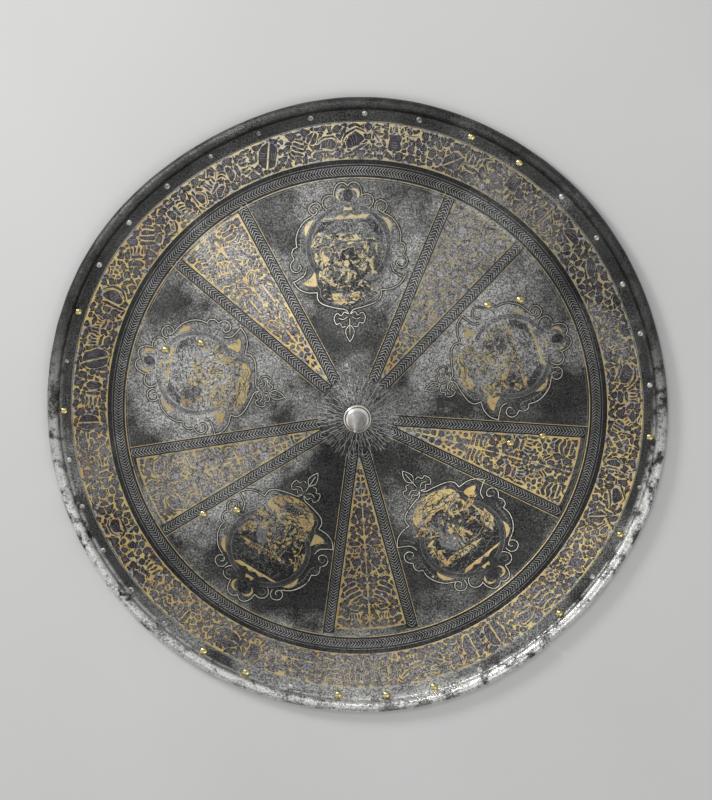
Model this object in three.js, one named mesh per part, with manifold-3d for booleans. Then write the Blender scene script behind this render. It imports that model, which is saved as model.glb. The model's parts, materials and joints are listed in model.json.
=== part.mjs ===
// A buckler: a round steel target with a low conical plate, a flat riveted flange, a rolled
// rim, a central spike, and two leather straps for arm and hand on its hollow back.
// Millimetres. The shield lies face up, its rolled rim on the plane z = 0, its centre at x = y = 0.
import * as THREE from 'three';
import { mergeVertices } from 'three/addons/utils/BufferGeometryUtils.js';
import Module from 'manifold-3d';

const wasm = await Module();
wasm.setup();

// Driving dimensions
const OUTER_R = 285;            // over the rolled rim
const SHEET = 2.0;              // thickness of the steel
const ROLL_R = 5.5;             // half the thickness of the rolled rim
const ROLL_FOOT = 1.6;          // half the width of the flat that the rim rests on
const FLANGE_Z = 4.6;           // top of the flat flange
const FLANGE_R = 262;           // where the flange meets the sloping band
const BAND_R = 213;             // where the band meets the cone
const BAND_Z = 12.6;
const APEX_Z = 74;              // where the straight sides of the cone would meet
const CROWN_R = 16;             // the crown under the spike is flattened to this radius
const PLATE_SIDES = 72;
const CLEARANCE = 0.3;          // between a rivet or the spike and what it goes through

const RIM_RIVETS = 36;
const RIM_RIVET_R = 269.6;      // radius of the rivet circle
const RIVET_TURN = 7.4;         // mean angle of the first rim rivet, degrees from +X
const RIVET_DRIFT = 3.4;        // the smith's spacing drifts by this many degrees round the rim
const RIVET_DRIFT_AT = 150;
const BRASS_RIM_RIVETS = [5, 6, 15, 17, 23, 24, 26, 27, 28, 31, 33, 35];
const BRASS_HEAD = { radius: 3.7, height: 2.3 };
const STEEL_HEAD = { radius: 2.8, height: 1.0 };
const SHANK_R = 1.6;
const TAIL = { radius: 2.5, height: 1.3 };
const RIVET_SIDES = 8;

// Strap rivets as [x, y] on the face, two at each end of a strap
const ARM_STRAP_ENDS = [[[-175, 56], [-142, 63]], [[-141, -95], [-110, -90]]];
const HAND_STRAP_ENDS = [[[118, 98], [148, 102]], [[139, -28], [169, -23]]];
const STRAP_WIDTH = 46;
const STRAP_THICKNESS = 3;
const STRAP_TAB = 16;           // from the rivets to the end of the leather
const STRAP_GAP = 1.5;          // between the leather and the sheet at the rivets
const STRAP_BOW = 13;           // how far the slack leather hangs below its two ends
const STRAP_STEPS = 16;

// The hammered rim is a little out of round: [waves in a turn, height, angle of a crest]
const RIM_WAVES = [[3, 0.6, 61], [4, 0.75, -7], [5, 0.7, 0], [6, 0.6, -20], [7, 0.4, -13]];
const SPLIT = { angle: -51, gape: 1.6, depth: 9, lean: 18 };

const SPIKE_FOOT_R = 12.7;
const SPIKE_LENGTH = 79;
const SPIKE_LEAN = 2.2;         // its point has been knocked this far towards -X
const SPIKE_SIDES = 20;
const SPIKE_SHANK_R = 3;

const STEEL = { color: 0x3b3a38, roughness: 0.5, metalness: 0.9 };
const BRIGHT_STEEL = { color: 0xb9b7b0, roughness: 0.3, metalness: 1 };
const BRASS = { color: 0xb08d3e, roughness: 0.35, metalness: 1 };
const LEATHER = { color: 0x4a2f1c, roughness: 0.85, metalness: 0 };

const { degToRad, radToDeg, smoothstep } = THREE.MathUtils;
const UP = new THREE.Vector3(0, 0, 1);
const object = new THREE.Group();

function addMesh(name, geometry, finish) {
  const mesh = new THREE.Mesh(geometry, new THREE.MeshStandardMaterial(finish));
  mesh.name = name;
  object.add(mesh);
  return mesh;
}

function toSolid(geometry) {
  const bare = geometry.clone();
  bare.deleteAttribute('normal');
  bare.deleteAttribute('uv');
  const merged = mergeVertices(bare, 1e-4);
  return new wasm.Manifold(new wasm.Mesh({
    numProp: 3,
    vertProperties: new Float32Array(merged.attributes.position.array),
    triVerts: new Uint32Array(merged.index.array),
  }));
}

function toGeometry(solid) {
  const { vertProperties, triVerts } = solid.getMesh();
  const geometry = new THREE.BufferGeometry();
  geometry.setAttribute('position', new THREE.BufferAttribute(vertProperties, 3));
  geometry.setIndex(new THREE.BufferAttribute(triVerts, 1));
  geometry.computeVertexNormals();
  return geometry;
}

// LatheGeometry turns about Y; this turns a [radius, height] profile about Z
function turned(profile, sides) {
  const points = profile.map(([r, z]) => new THREE.Vector2(r, z));
  return new THREE.LatheGeometry(points, sides).rotateX(Math.PI / 2);
}

const CONE_SLOPE = (APEX_Z - BAND_Z) / BAND_R;
const BAND_SLOPE = (BAND_Z - FLANGE_Z) / (FLANGE_R - BAND_R);

// Height of the plate's outer face at radius r: flange, band, cone, flattened crown
function faceHeight(r) {
  if (r >= FLANGE_R) return FLANGE_Z;
  if (r >= BAND_R) return FLANGE_Z + BAND_SLOPE * (FLANGE_R - r);
  return APEX_Z - CONE_SLOPE * Math.max(r, CROWN_R);
}

// Outward normal of the cone at [x, y]
function coneNormal(x, y) {
  const r = Math.hypot(x, y);
  return new THREE.Vector3(CONE_SLOPE * x / r, CONE_SLOPE * y / r, 1).normalize();
}

// How far the hammered rim stands out at a turn in radians
function rimWave(turn) {
  let wave = 0;
  for (const [count, height, crest] of RIM_WAVES) {
    wave += height * Math.cos(count * (turn - degToRad(crest)));
  }
  return wave;
}

function hammered(x, y) {
  const share = smoothstep(Math.hypot(x, y), BAND_R, FLANGE_R);
  const stretch = 1 + rimWave(Math.atan2(y, x)) * share / OUTER_R;
  return [x * stretch, y * stretch];
}

// Outer face, round the rolled rim to its flat foot, and back along the hollow side
function plateProfile() {
  const face = [0, CROWN_R, 60, 110, 165, BAND_R, 238, FLANGE_R];
  const rollCentre = OUTER_R - ROLL_R;
  const rollStart = rollCentre - Math.sqrt(ROLL_R ** 2 - (ROLL_R - FLANGE_Z) ** 2);
  const top = [...face, rollStart].map((r) => [r, faceHeight(r)]);
  const under = [...face, rollStart + 1].map((r) => [r, faceHeight(r) - SHEET]).reverse();
  const roll = [];
  for (let angle = 150; angle >= -60; angle -= 35) {
    const a = degToRad(angle);
    roll.push([rollCentre + ROLL_R * Math.cos(a), ROLL_R + ROLL_R * Math.sin(a)]);
  }
  const foot = [[rollCentre + ROLL_FOOT, 0], [rollCentre - ROLL_FOOT, 0]];
  return [...top, ...roll, ...foot, ...under].reverse();
}

function hammerRim(geometry) {
  const position = geometry.attributes.position;
  for (let i = 0; i < position.count; i += 1) {
    const [x, y] = hammered(position.getX(i), position.getY(i));
    position.setXY(i, x, y);
  }
  return geometry;
}

// Where each rivet stands, and which way it points
function rimRivetPlaces() {
  const places = [];
  for (let i = 0; i < RIM_RIVETS; i += 1) {
    const pitch = i * 360 / RIM_RIVETS;
    const drift = RIVET_DRIFT * Math.cos(degToRad(pitch - RIVET_DRIFT_AT));
    const turn = degToRad(RIVET_TURN + pitch + drift);
    const [x, y] = hammered(RIM_RIVET_R * Math.cos(turn), RIM_RIVET_R * Math.sin(turn));
    places.push({ position: new THREE.Vector3(x, y, FLANGE_Z), normal: UP });
  }
  return places;
}

function strapRivetPlaces(ends) {
  return ends.flat().map(([x, y]) => ({
    position: new THREE.Vector3(x, y, faceHeight(Math.hypot(x, y))),
    normal: coneNormal(x, y),
  }));
}

// A pin longer than the sheet is thick, standing in a rivet's place, to bore its hole with
function borer({ position, normal }, radius) {
  const geometry = new THREE.CylinderGeometry(radius, radius, 24, RIVET_SIDES);
  geometry.rotateX(Math.PI / 2);
  geometry.applyQuaternion(new THREE.Quaternion().setFromUnitVectors(UP, normal));
  return geometry.translate(position.x, position.y, position.z);
}

function bored(solid, places, radius) {
  let result = solid;
  for (const place of places) {
    result = result.subtract(toSolid(borer(place, radius)));
  }
  return result;
}

// The wedge-shaped split where the two ends of the rolled edge have pulled apart
function splitWedge() {
  const outline = new THREE.Shape([
    new THREE.Vector2(-SPLIT.depth, 0),
    new THREE.Vector2(SPLIT.depth, -SPLIT.gape),
    new THREE.Vector2(SPLIT.depth, SPLIT.gape),
  ]);
  const wedge = new THREE.ExtrudeGeometry(outline, { depth: 4 * ROLL_R, bevelEnabled: false });
  wedge.rotateZ(degToRad(SPLIT.angle + SPLIT.lean));
  const at = new THREE.Vector2(OUTER_R, 0).rotateAround(new THREE.Vector2(), degToRad(SPLIT.angle));
  return wedge.translate(at.x, at.y, -ROLL_R);
}

// A rivet: a domed or flat head in front, a shank through the plate, a hammered tail behind
function rivetGeometry(head, grip) {
  const tailTop = -grip - CLEARANCE;
  return turned([
    [0, tailTop - TAIL.height],
    [TAIL.radius, tailTop],
    [SHANK_R, tailTop],
    [SHANK_R, CLEARANCE],
    [head.radius, CLEARANCE],
    [head.radius * 0.75, CLEARANCE + head.height * 0.7],
    [0, CLEARANCE + head.height],
  ], RIVET_SIDES);
}

function addRivet(name, place, head, finish, grip) {
  const mesh = addMesh(name, rivetGeometry(head, grip), finish);
  mesh.position.copy(place.position);
  mesh.quaternion.setFromUnitVectors(UP, place.normal);
}

// A strap's side view runs along its length; the leather's width is square to both ends' normals,
// so that both ends lie flat against the cone. Between them the slack leather hangs in a bow.
function strapGeometry(ends) {
  const [start, finish] = ends.map((pair) => {
    const x = (pair[0][0] + pair[1][0]) / 2;
    const y = (pair[0][1] + pair[1][1]) / 2;
    const normal = coneNormal(x, y);
    const depth = SHEET + STRAP_GAP + STRAP_THICKNESS / 2;
    const point = new THREE.Vector3(x, y, faceHeight(Math.hypot(x, y)));
    return { normal, point: point.addScaledVector(normal, -depth) };
  });
  const across = start.normal.clone().cross(finish.normal).normalize();
  if (across.z < 0) across.negate();
  const chord = finish.point.clone().sub(start.point);
  const along = chord.addScaledVector(across, -chord.dot(across)).normalize();
  const rise = across.clone().cross(along);
  if (rise.z < 0) rise.negate();

  const flat = (v) => new THREE.Vector2(v.dot(along), v.dot(rise));
  const tabLine = ({ normal }) => new THREE.Vector2(normal.dot(rise), -normal.dot(along)).normalize();
  const from = new THREE.Vector2();
  const to = flat(finish.point.clone().sub(start.point));
  const leave = tabLine(start);
  const arrive = tabLine(finish);
  const middle = from.clone().lerp(to, 0.5).add(new THREE.Vector2(0, -STRAP_BOW));
  const quarter = (end, share) => end.clone().lerp(middle, share);
  const centreLine = new THREE.SplineCurve([
    from.clone().addScaledVector(leave, -STRAP_TAB),
    from,
    from.clone().addScaledVector(leave, STRAP_TAB / 2),
    quarter(from, 0.55).add(new THREE.Vector2(0, -2)),
    middle,
    quarter(to, 0.55).add(new THREE.Vector2(0, -2)),
    to.clone().addScaledVector(arrive, -STRAP_TAB / 2),
    to,
    to.clone().addScaledVector(arrive, STRAP_TAB),
  ]);
  const edge = (side) => {
    const points = [];
    for (let i = 0; i <= STRAP_STEPS; i += 1) {
      const t = i / STRAP_STEPS;
      const tangent = centreLine.getTangent(t);
      const square = new THREE.Vector2(-tangent.y, tangent.x);
      points.push(centreLine.getPoint(t).addScaledVector(square, side * STRAP_THICKNESS / 2));
    }
    return points;
  };
  const outline = new THREE.Shape([...edge(1), ...edge(-1).reverse()]);
  const geometry = new THREE.ExtrudeGeometry(outline, { depth: STRAP_WIDTH, bevelEnabled: false });
  geometry.translate(0, 0, -STRAP_WIDTH / 2);
  const sideways = along.clone().cross(rise);
  geometry.applyMatrix4(new THREE.Matrix4().makeBasis(along, rise, sideways));
  return geometry.translate(start.point.x, start.point.y, start.point.z);
}

const rimPlaces = rimRivetPlaces();
const armPlaces = strapRivetPlaces(ARM_STRAP_ENDS);
const handPlaces = strapRivetPlaces(HAND_STRAP_ENDS);
const crown = { position: new THREE.Vector3(0, 0, faceHeight(0)), normal: UP };
const HOLE_R = SHANK_R + CLEARANCE;

const plate = toSolid(hammerRim(turned(plateProfile(), PLATE_SIDES))).subtract(toSolid(splitWedge()));
const riveted = bored(plate, [...rimPlaces, ...armPlaces, ...handPlaces], HOLE_R);
addMesh('shield_plate', toGeometry(bored(riveted, [crown], SPIKE_SHANK_R + CLEARANCE)), STEEL);

// The spike: moulded foot, waist, bulb and long taper, its shank hammered over behind the crown
const BULB_TOP = 14;

function spikeGeometry() {
  const geometry = turned([
    [0, -SHEET - 2.4],
    [5, -SHEET - 2.4],
    [5, -SHEET - CLEARANCE],
    [SPIKE_SHANK_R, -SHEET - CLEARANCE],
    [SPIKE_SHANK_R, CLEARANCE],
    [SPIKE_FOOT_R - 1, CLEARANCE],
    [SPIKE_FOOT_R, 2.2],
    [SPIKE_FOOT_R - 0.6, 4.4],
    [9.2, 5.4],
    [7.8, 7.2],
    [8.8, 10],
    [9.2, BULB_TOP],
    [8.0, 19],
    [5.4, 28],
    [3.0, 48],
    [0.9, SPIKE_LENGTH - 1.2],
    [0, SPIKE_LENGTH],
  ], SPIKE_SIDES);
  const position = geometry.attributes.position;
  for (let i = 0; i < position.count; i += 1) {
    const share = Math.max(0, position.getZ(i) - BULB_TOP) / (SPIKE_LENGTH - BULB_TOP);
    position.setX(i, position.getX(i) - SPIKE_LEAN * share);
  }
  return geometry;
}

addMesh('spike', spikeGeometry(), BRIGHT_STEEL).position.copy(crown.position);

rimPlaces.forEach((place, i) => {
  const brass = BRASS_RIM_RIVETS.includes(i);
  const name = `rim_rivet_${String(i + 1).padStart(2, '0')}`;
  addRivet(name, place, brass ? BRASS_HEAD : STEEL_HEAD, brass ? BRASS : STEEL, SHEET);
});

const STRAP_GRIP = SHEET + STRAP_GAP + STRAP_THICKNESS;
for (const [kind, ends, places] of [
  ['arm', ARM_STRAP_ENDS, armPlaces],
  ['hand', HAND_STRAP_ENDS, handPlaces],
]) {
  const strap = bored(toSolid(strapGeometry(ends)), places, HOLE_R);
  addMesh(`${kind}_strap`, toGeometry(strap), LEATHER);
  places.forEach((place, i) => {
    addRivet(`${kind}_strap_rivet_${i + 1}`, place, BRASS_HEAD, BRASS, STRAP_GRIP);
  });
}

// The hammered outline is centred on the axes
const middle = new THREE.Box3().setFromObject(object).getCenter(new THREE.Vector3());
object.position.set(-middle.x, -middle.y, 0);

export default object;
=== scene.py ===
"""Looks of the buckler: hammered plate, etched and gilt relief, spike, rivets and straps.

Patterns are drawn in millimetres on a flat plan of the shield, X right and Y up as seen from
the front, and laid on the plate's outer face by on_face(), which turns them into metres.
"""

import json
import math
import random

import bpy
import numpy as np
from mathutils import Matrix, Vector
from mathutils.geometry import tessellate_polygon


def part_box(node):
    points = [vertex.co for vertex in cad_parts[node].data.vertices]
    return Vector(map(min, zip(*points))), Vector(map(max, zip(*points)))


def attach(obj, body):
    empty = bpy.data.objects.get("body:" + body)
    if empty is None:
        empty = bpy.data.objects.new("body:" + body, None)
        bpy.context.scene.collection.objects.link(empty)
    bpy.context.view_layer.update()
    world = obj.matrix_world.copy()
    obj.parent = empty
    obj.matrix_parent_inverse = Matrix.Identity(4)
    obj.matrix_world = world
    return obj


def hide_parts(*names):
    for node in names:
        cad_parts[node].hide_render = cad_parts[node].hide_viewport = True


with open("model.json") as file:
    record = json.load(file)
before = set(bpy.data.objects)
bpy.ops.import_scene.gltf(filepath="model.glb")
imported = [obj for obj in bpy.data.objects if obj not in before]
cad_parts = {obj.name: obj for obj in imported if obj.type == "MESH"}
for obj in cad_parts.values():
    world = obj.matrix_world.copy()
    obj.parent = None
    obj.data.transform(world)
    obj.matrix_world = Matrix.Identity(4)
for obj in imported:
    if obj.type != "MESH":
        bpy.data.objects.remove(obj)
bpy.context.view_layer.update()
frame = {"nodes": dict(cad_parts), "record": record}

MM = 0.001
SPIKE_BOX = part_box("spike")
CENTRE = (SPIKE_BOX[0] + SPIKE_BOX[1]) / 2

# The plate, as the CAD has it
OUTER_R = 285.0
SHEET = 2.0
ROLL_R = 5.5
ROLL_FOOT = 1.6
FLANGE_R, FLANGE_Z = 262.0, 4.6
BAND_R, BAND_Z = 213.0, 12.6
CROWN_R, APEX_Z = 16.0, 74.0
RIM_WAVES = [(3, 0.6, 61), (4, 0.75, -7), (5, 0.7, 0), (6, 0.6, -20), (7, 0.4, -13)]
SPLIT_ANGLE = -51.0               # where the rolled rim has cracked open
SPLIT_HALF = 0.17                 # half the crack's opening, degrees
SPLIT_DEPTH_R = 275.6             # the crack runs in to this radius
SPRUNG = 1.6                      # how far the rim stands back on one side of the crack

# The decoration's layout
DESIGN_CENTRE = (-1.0, 2.5)       # where its radial lines meet, a little off the spike
ROPE_IN, ROPE_OUT = 213.0, 229.6  # the rope ring between its gold lines
WEDGES = (55.5, 130.3, 202.5, 273.6, 342.9)
WEDGE_BACK = 21.0                 # the wedge's sides meet this far behind the design's centre
WEDGE_HALF_ANGLE = 11.0
WEDGE_START = 33.0
WEDGE_ROPE = 11.0                 # width of the roped border on either side of a wedge
SECTORS = (92.9, 166.4, 238.0, 308.3, 19.2)
TROPHY_HEIGHT = 0.32
GRAVING_WIDTH, GRAVING_HEIGHT = 0.5, 0.42
FINE_LINE = (0.5, 0.25)           # width and height of the finest etched lines
WALL = 0.42                       # the etched edge round each trophy, in millimetres across
ROOT = -0.1                       # relief starts this far under the face
BED, GROUND = 0.02, 0.03          # how far thin skins of colour stand off the face
ALL_TURNS = tuple(range(0, 360, 30))

# The view: degrees off the shield's axis, where it looks, in millimetres, and from how far
TILT = 8.4
AIM = (-1.4, 7.0, ROLL_R)
DISTANCE = 4.0
LENS, SENSOR = 196, 36

# Lamps: name, place in metres, size in metres, watts
LAMPS = [
    ("key", (-0.45, 1.15, 2.6), 0.3, 10),
    ("side", (-1.4, 1.3, 1.0), 0.5, 24),
    ("fill", (1.2, -1.5, 2.4), 1.2, 8),
]
# How bright the studio round the shield is, from its foot side (-1) to its head side (1),
# and from its left to its right
ROOM_LIGHT = [(-1.0, 0.2), (-0.72, 0.3), (-0.5, 0.8), (-0.3, 0.85), (-0.16, 0.95),
              (-0.04, 0.45), (0.12, 0.32), (0.30, 0.60), (0.42, 0.28), (0.62, 0.78), (1.0, 0.15)]
ROOM_LEFT, ROOM_RIGHT = 1.25, 1.12
ROOM_SCALE = 1.3


# ---------------------------------------------------------------- the face of the plate

def face_table():
    """Height of the outer face against radius, with the creases eased as a hammer leaves them."""
    radius = np.arange(0, 300, 0.5)
    sharp = np.interp(radius, [CROWN_R, BAND_R, FLANGE_R],
                      [APEX_Z - (APEX_Z - BAND_Z) * CROWN_R / BAND_R, BAND_Z, FLANGE_Z])
    window = np.ones(9) / 9
    padded = np.pad(sharp, 4, mode="edge")
    return radius, np.convolve(padded, window, mode="valid")


FACE_RADII, FACE_HEIGHTS = face_table()


def face_height(radius):
    return np.interp(radius, FACE_RADII, FACE_HEIGHTS)


def hammered(x, y):
    """The rim stands a little out of round, and the band inside it follows."""
    radius = np.hypot(x, y)
    angle = np.arctan2(y, x)
    wave = sum(height * np.cos(count * (angle - math.radians(crest)))
               for count, height, crest in RIM_WAVES)
    share = np.clip((radius - BAND_R) / (FLANGE_R - BAND_R), 0, 1)
    share = share * share * (3 - 2 * share)
    stretch = 1 + wave * share / OUTER_R
    return x * stretch, y * stretch


def on_face(points, height=0.0):
    """Plan points in millimetres to points in metres that stand `height` above the face."""
    points = np.asarray(points, float)
    x, y = points[:, 0], points[:, 1]
    z = face_height(np.hypot(x, y)) + height
    x, y = hammered(x, y)
    return np.column_stack([x * MM + CENTRE.x, y * MM + CENTRE.y, z * MM])


def new_object(name, vertices, faces, material, smooth=True, wall=None, walls=()):
    """A mesh of one material, or of two with `wall` on the faces numbered in `walls`."""
    mesh = bpy.data.meshes.new(name)
    mesh.from_pydata([tuple(v) for v in vertices], [], faces)
    mesh.materials.append(material)
    if wall:
        mesh.materials.append(wall)
        marks = np.zeros(len(faces), int)
        marks[list(walls)] = 1
        mesh.polygons.foreach_set("material_index", marks)
    mesh.validate()
    if smooth:
        mesh.polygons.foreach_set("use_smooth", [True] * len(mesh.polygons))
    obj = bpy.data.objects.new(name, mesh)
    bpy.context.scene.collection.objects.link(obj)
    return obj


def quads(rows, count, closed=True, turned=False):
    """Faces between rows of `count` vertices, each row given by its first vertex's number."""
    faces = []
    for a, b in zip(rows, rows[1:]):
        for i in range(count if closed else count - 1):
            j = (i + 1) % count
            side, far = (b + i, a + j) if not turned else (a + j, b + i)
            faces.append((a + i, side, b + j, far))
    return faces


# ---------------------------------------------------------------- materials

class Shader:
    """A Principled material, and short names for the nodes that colour it."""

    def __init__(self, name, group=False):
        if group:
            self.tree = bpy.data.node_groups.new(name, "ShaderNodeTree")
        else:
            self.material = bpy.data.materials.new(name)
            self.material.use_nodes = True
            self.tree = self.material.node_tree
            self.surface = self.tree.nodes["Principled BSDF"]
        self.place = self.tree.nodes.new("ShaderNodeTexCoord").outputs["Object"]

    def node(self, kind, sockets=(), **settings):
        made = self.tree.nodes.new(kind)
        for key, value in settings.items():
            setattr(made, key, value)
        for key, value in dict(sockets).items():
            self.feed(made.inputs[key], value)
        return made

    def feed(self, socket, value):
        if isinstance(value, bpy.types.NodeSocket):
            self.tree.links.new(value, socket)
        else:
            socket.default_value = value

    def noise(self, per_metre, detail=4.0, roughness=0.6, distortion=0.0, place=None):
        return self.node("ShaderNodeTexNoise", {
            "Vector": place or self.place, "Scale": per_metre, "Detail": detail,
            "Roughness": roughness, "Distortion": distortion}).outputs["Fac"]

    def cells(self, per_metre, feature="F1"):
        return self.node("ShaderNodeTexVoronoi", {"Vector": self.place, "Scale": per_metre},
                         feature=feature).outputs["Distance"]

    def span(self, value, low, high, to_low=0.0, to_high=1.0):
        return self.node("ShaderNodeMapRange", {
            "Value": value, "From Min": low, "From Max": high,
            "To Min": to_low, "To Max": to_high}).outputs["Result"]

    def maths(self, operation, a, b=0.0):
        return self.node("ShaderNodeMath", {0: a, 1: b}, operation=operation).outputs[0]

    def mix(self, factor, a, b):
        made = self.node("ShaderNodeMix", data_type="RGBA")
        self.feed(made.inputs[0], factor)
        self.feed(made.inputs[6], a if isinstance(a, bpy.types.NodeSocket) else (*a, 1))
        self.feed(made.inputs[7], b if isinstance(b, bpy.types.NodeSocket) else (*b, 1))
        return made.outputs[2]

    def bump(self, height, depth, strength=1.0):
        return self.node("ShaderNodeBump", {
            "Height": height, "Distance": depth * MM, "Strength": strength}).outputs["Normal"]

    # Wear and painted sheen: the patches that rub the steel bare also paint it paler where the
    # dome reflects the lamps and room.
    def wear_and_sheen(self):
        return self.node("ShaderNodeGroup", node_tree=WEAR_AND_SHEEN).outputs[0]

    def towards_head(self):
        """How far the gilding is made greyer and thinner, from 0 to 1: most towards the shield's
        head.
        """
        along = self.node("ShaderNodeVectorMath", {0: self.place, 1: (0.35, 0.94, 0.0)},
                          operation="DOT_PRODUCT").outputs["Value"]
        return self.span(along, 0.06, 0.16)

    def finish(self, colour, metallic, roughness, normal=None, **more):
        self.feed(self.surface.inputs["Base Color"], colour)
        self.feed(self.surface.inputs["Metallic"], metallic)
        self.feed(self.surface.inputs["Roughness"], roughness)
        if normal:
            self.feed(self.surface.inputs["Normal"], normal)
        for key, value in more.items():
            self.feed(self.surface.inputs[key.replace("_", " ")], value)
        return self.material


# Texture scales, in repeats a metre
CLOUD, DRIFT, GRAIN, PITS, RELIEF_GRAIN, GILT_GRAIN = 22, 14, 640, 560, 420, 420
EDGE_WANDER = 0.022               # how far the edge of a patch of wear and painted sheen wanders, in metres
HANDLED_FROM, HANDLED_TO = 0.270, 0.275   # radii between which the rim turns to handled steel, where its painted highlight lies
SHADED_Y, LIT_Y = 0.07, -0.09     # the rim's streaks are painted as a bright highlight on its foot side, below these
PIT_BLACK = (0.006, 0.006, 0.007)

# Rubbed patches, which also paint in sheen where the dome reflects the lamps and room: plan x, y,
# radius and how bare, in millimetres
RUBBED_AND_SHEEN = [
    (-10, 185, 60, 0.45), (45, 165, 45, 0.45), (79, 115, 64, 1.5), (112, 160, 58, 1.5),
    (-90, 107, 55, 0.9), (-122, 140, 48, 0.9), (-150, 30, 68, 1.2), (-80, 40, 40, 0.7),
    (-148, -61, 58, 1.3), (-92, -38, 42, 1.2), (-85, -80, 34, 0.6), (118, 72, 62, 1.2),
    (77, 53, 40, 1.0), (92, 31, 26, 0.8), (95, -29, 30, 0.4), (42, -88, 32, 0.5),
    (95, -175, 34, 0.3), (0, 36, 36, 0.3), (-40, 4, 30, 0.4), (40, 8, 30, 0.4),
    (0, -250, 66, 1.0), (74, -242, 58, 0.9), (-66, -244, 56, 0.8), (-150, -195, 56, 0.5),
    (150, -198, 48, 0.6), (215, -130, 44, 0.4), (-242, -50, 44, 0.4), (160, 160, 40, 0.5),
    (222, 66, 34, 0.6),
]


def wear_and_sheen_group():
    """How bare the surface is rubbed, with painted sheen where the dome reflects the lamps and
    room, from 0 to 1, as one node group that every finish shares.
    """
    shader = Shader("wear_and_sheen", group=True)
    shader.tree.interface.new_socket("Bare_and_sheen", in_out="OUTPUT", socket_type="NodeSocketFloat")
    total = shader.span(shader.noise(DRIFT, 3, 0.6), 0.5, 0.75, 0.0, 0.3)
    ragged = shader.span(shader.noise(24, 4, 0.65), 0.3, 0.7, -EDGE_WANDER, EDGE_WANDER)
    for x, y, radius, bare in RUBBED_AND_SHEEN:
        spot = (x * MM + CENTRE.x, y * MM + CENTRE.y, float(face_height(math.hypot(x, y))) * MM)
        away = shader.node("ShaderNodeVectorMath", {0: shader.place, 1: spot},
                           operation="DISTANCE").outputs["Value"]
        away = shader.maths("ADD", away, ragged)
        patch = shader.span(away, radius * MM * 1.15, radius * MM * 0.35, 0.0, bare)
        total = shader.maths("MAXIMUM", total, patch)
    broken = shader.span(shader.noise(40, 6, 0.7), 0.34, 0.62, 0.55, 1.15)
    bare = shader.maths("MULTIPLY", total, broken)
    out = shader.tree.nodes.new("NodeGroupOutput")
    shader.tree.links.new(bare, out.inputs[0])
    return shader.tree


WEAR_AND_SHEEN = wear_and_sheen_group()

BLACKENED = (0.010, 0.0105, 0.010)
GREY_STEEL = (0.058, 0.060, 0.058)
PALE_STEEL = (0.86, 0.855, 0.83)


def radius_of(shader):
    """Distance from the shield's axis, in metres."""
    flat = shader.node("ShaderNodeVectorMath", {0: shader.place, 1: (-CENTRE.x, -CENTRE.y, 0)},
                       operation="ADD").outputs["Vector"]
    flat = shader.node("ShaderNodeVectorMath", {0: flat, 1: (1, 1, 0)},
                       operation="MULTIPLY").outputs["Vector"]
    return shader.node("ShaderNodeVectorMath", {0: flat}, operation="LENGTH").outputs["Value"]


def steel_finish(name, dark, mid, pale, wear_and_sheen_gain=1.0, roughness=0.42, rim=False):
    """Blackened steel, mottled and pitted, rubbed paler in flecks on its wear patches, which also
    paint in sheen. With `rim`, the rolled edge is handled bare and has more shine, and its streaks
    are painted pale as a highlight on its foot side."""
    shader = Shader(name)
    cloud = shader.noise(CLOUD, 8, 0.65, 0.6)
    grain = shader.noise(GRAIN, 4, 0.85)
    colour = shader.mix(shader.span(cloud, 0.38, 0.72), dark, mid)
    # Painted sheen with the wear: the steel turns paler on these patches.
    bare = shader.maths("MULTIPLY", shader.wear_and_sheen(), wear_and_sheen_gain)
    colour = shader.mix(shader.span(bare, 0.1, 1.1, 0.0, 0.38), colour, pale)
    fleck = shader.span(grain, 0.46, 0.58)
    amount = shader.span(bare, 0.0, 1.0, 0.07, 0.85)
    colour = shader.mix(shader.maths("MULTIPLY", fleck, amount), colour, pale)
    rough = shader.span(cloud, 0.3, 0.7, roughness - 0.08, roughness + 0.14)
    if rim:
        handled_and_highlight = shader.span(radius_of(shader), HANDLED_FROM, HANDLED_TO)
        streak = shader.span(shader.noise(70, 6, 0.75), 0.41, 0.53)
        # Painted highlight: on its foot side the rolled rim's streaks are painted pale as if lit,
        # and towards its head side they stay dark.
        foot_side = shader.node("ShaderNodeSeparateXYZ", {0: shader.place}).outputs["Y"]
        lit = shader.span(foot_side, SHADED_Y, LIT_Y, 0.03, 1.0)
        streak = shader.maths("MULTIPLY", streak, lit)
        handled_and_highlight = shader.maths("MULTIPLY", handled_and_highlight, streak)
        colour = shader.mix(handled_and_highlight, colour, pale)
        rough = shader.maths("SUBTRACT", rough, shader.maths("MULTIPLY", handled_and_highlight, 0.16))
    pits = shader.span(shader.noise(PITS, 3, 0.8), 0.39, 0.49, 0.95, 0.0)
    pits = shader.maths("MULTIPLY", pits, shader.span(bare, 0.0, 0.6, 0.3, 0.85))
    colour = shader.mix(pits, colour, PIT_BLACK)
    relief = shader.maths("SUBTRACT", shader.noise(RELIEF_GRAIN, 5, 0.7), pits)
    normal = shader.bump(relief, 0.35, 0.6)
    return shader.finish(colour, 0.82, rough, normal)


GOLD = (0.62, 0.49, 0.20)
ORANGE_GOLD = (0.50, 0.30, 0.12)
PALE_GOLD = (0.72, 0.66, 0.44)
DULL_GOLD = (0.44, 0.41, 0.28)
UNDER_GILT_DARK, UNDER_GILT_PALE = (0.015, 0.015, 0.016), (0.5, 0.49, 0.46)
TIP_FROM, TIP_TO = 0.090, 0.045   # the gilding thins between these radii, towards the spike


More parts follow.
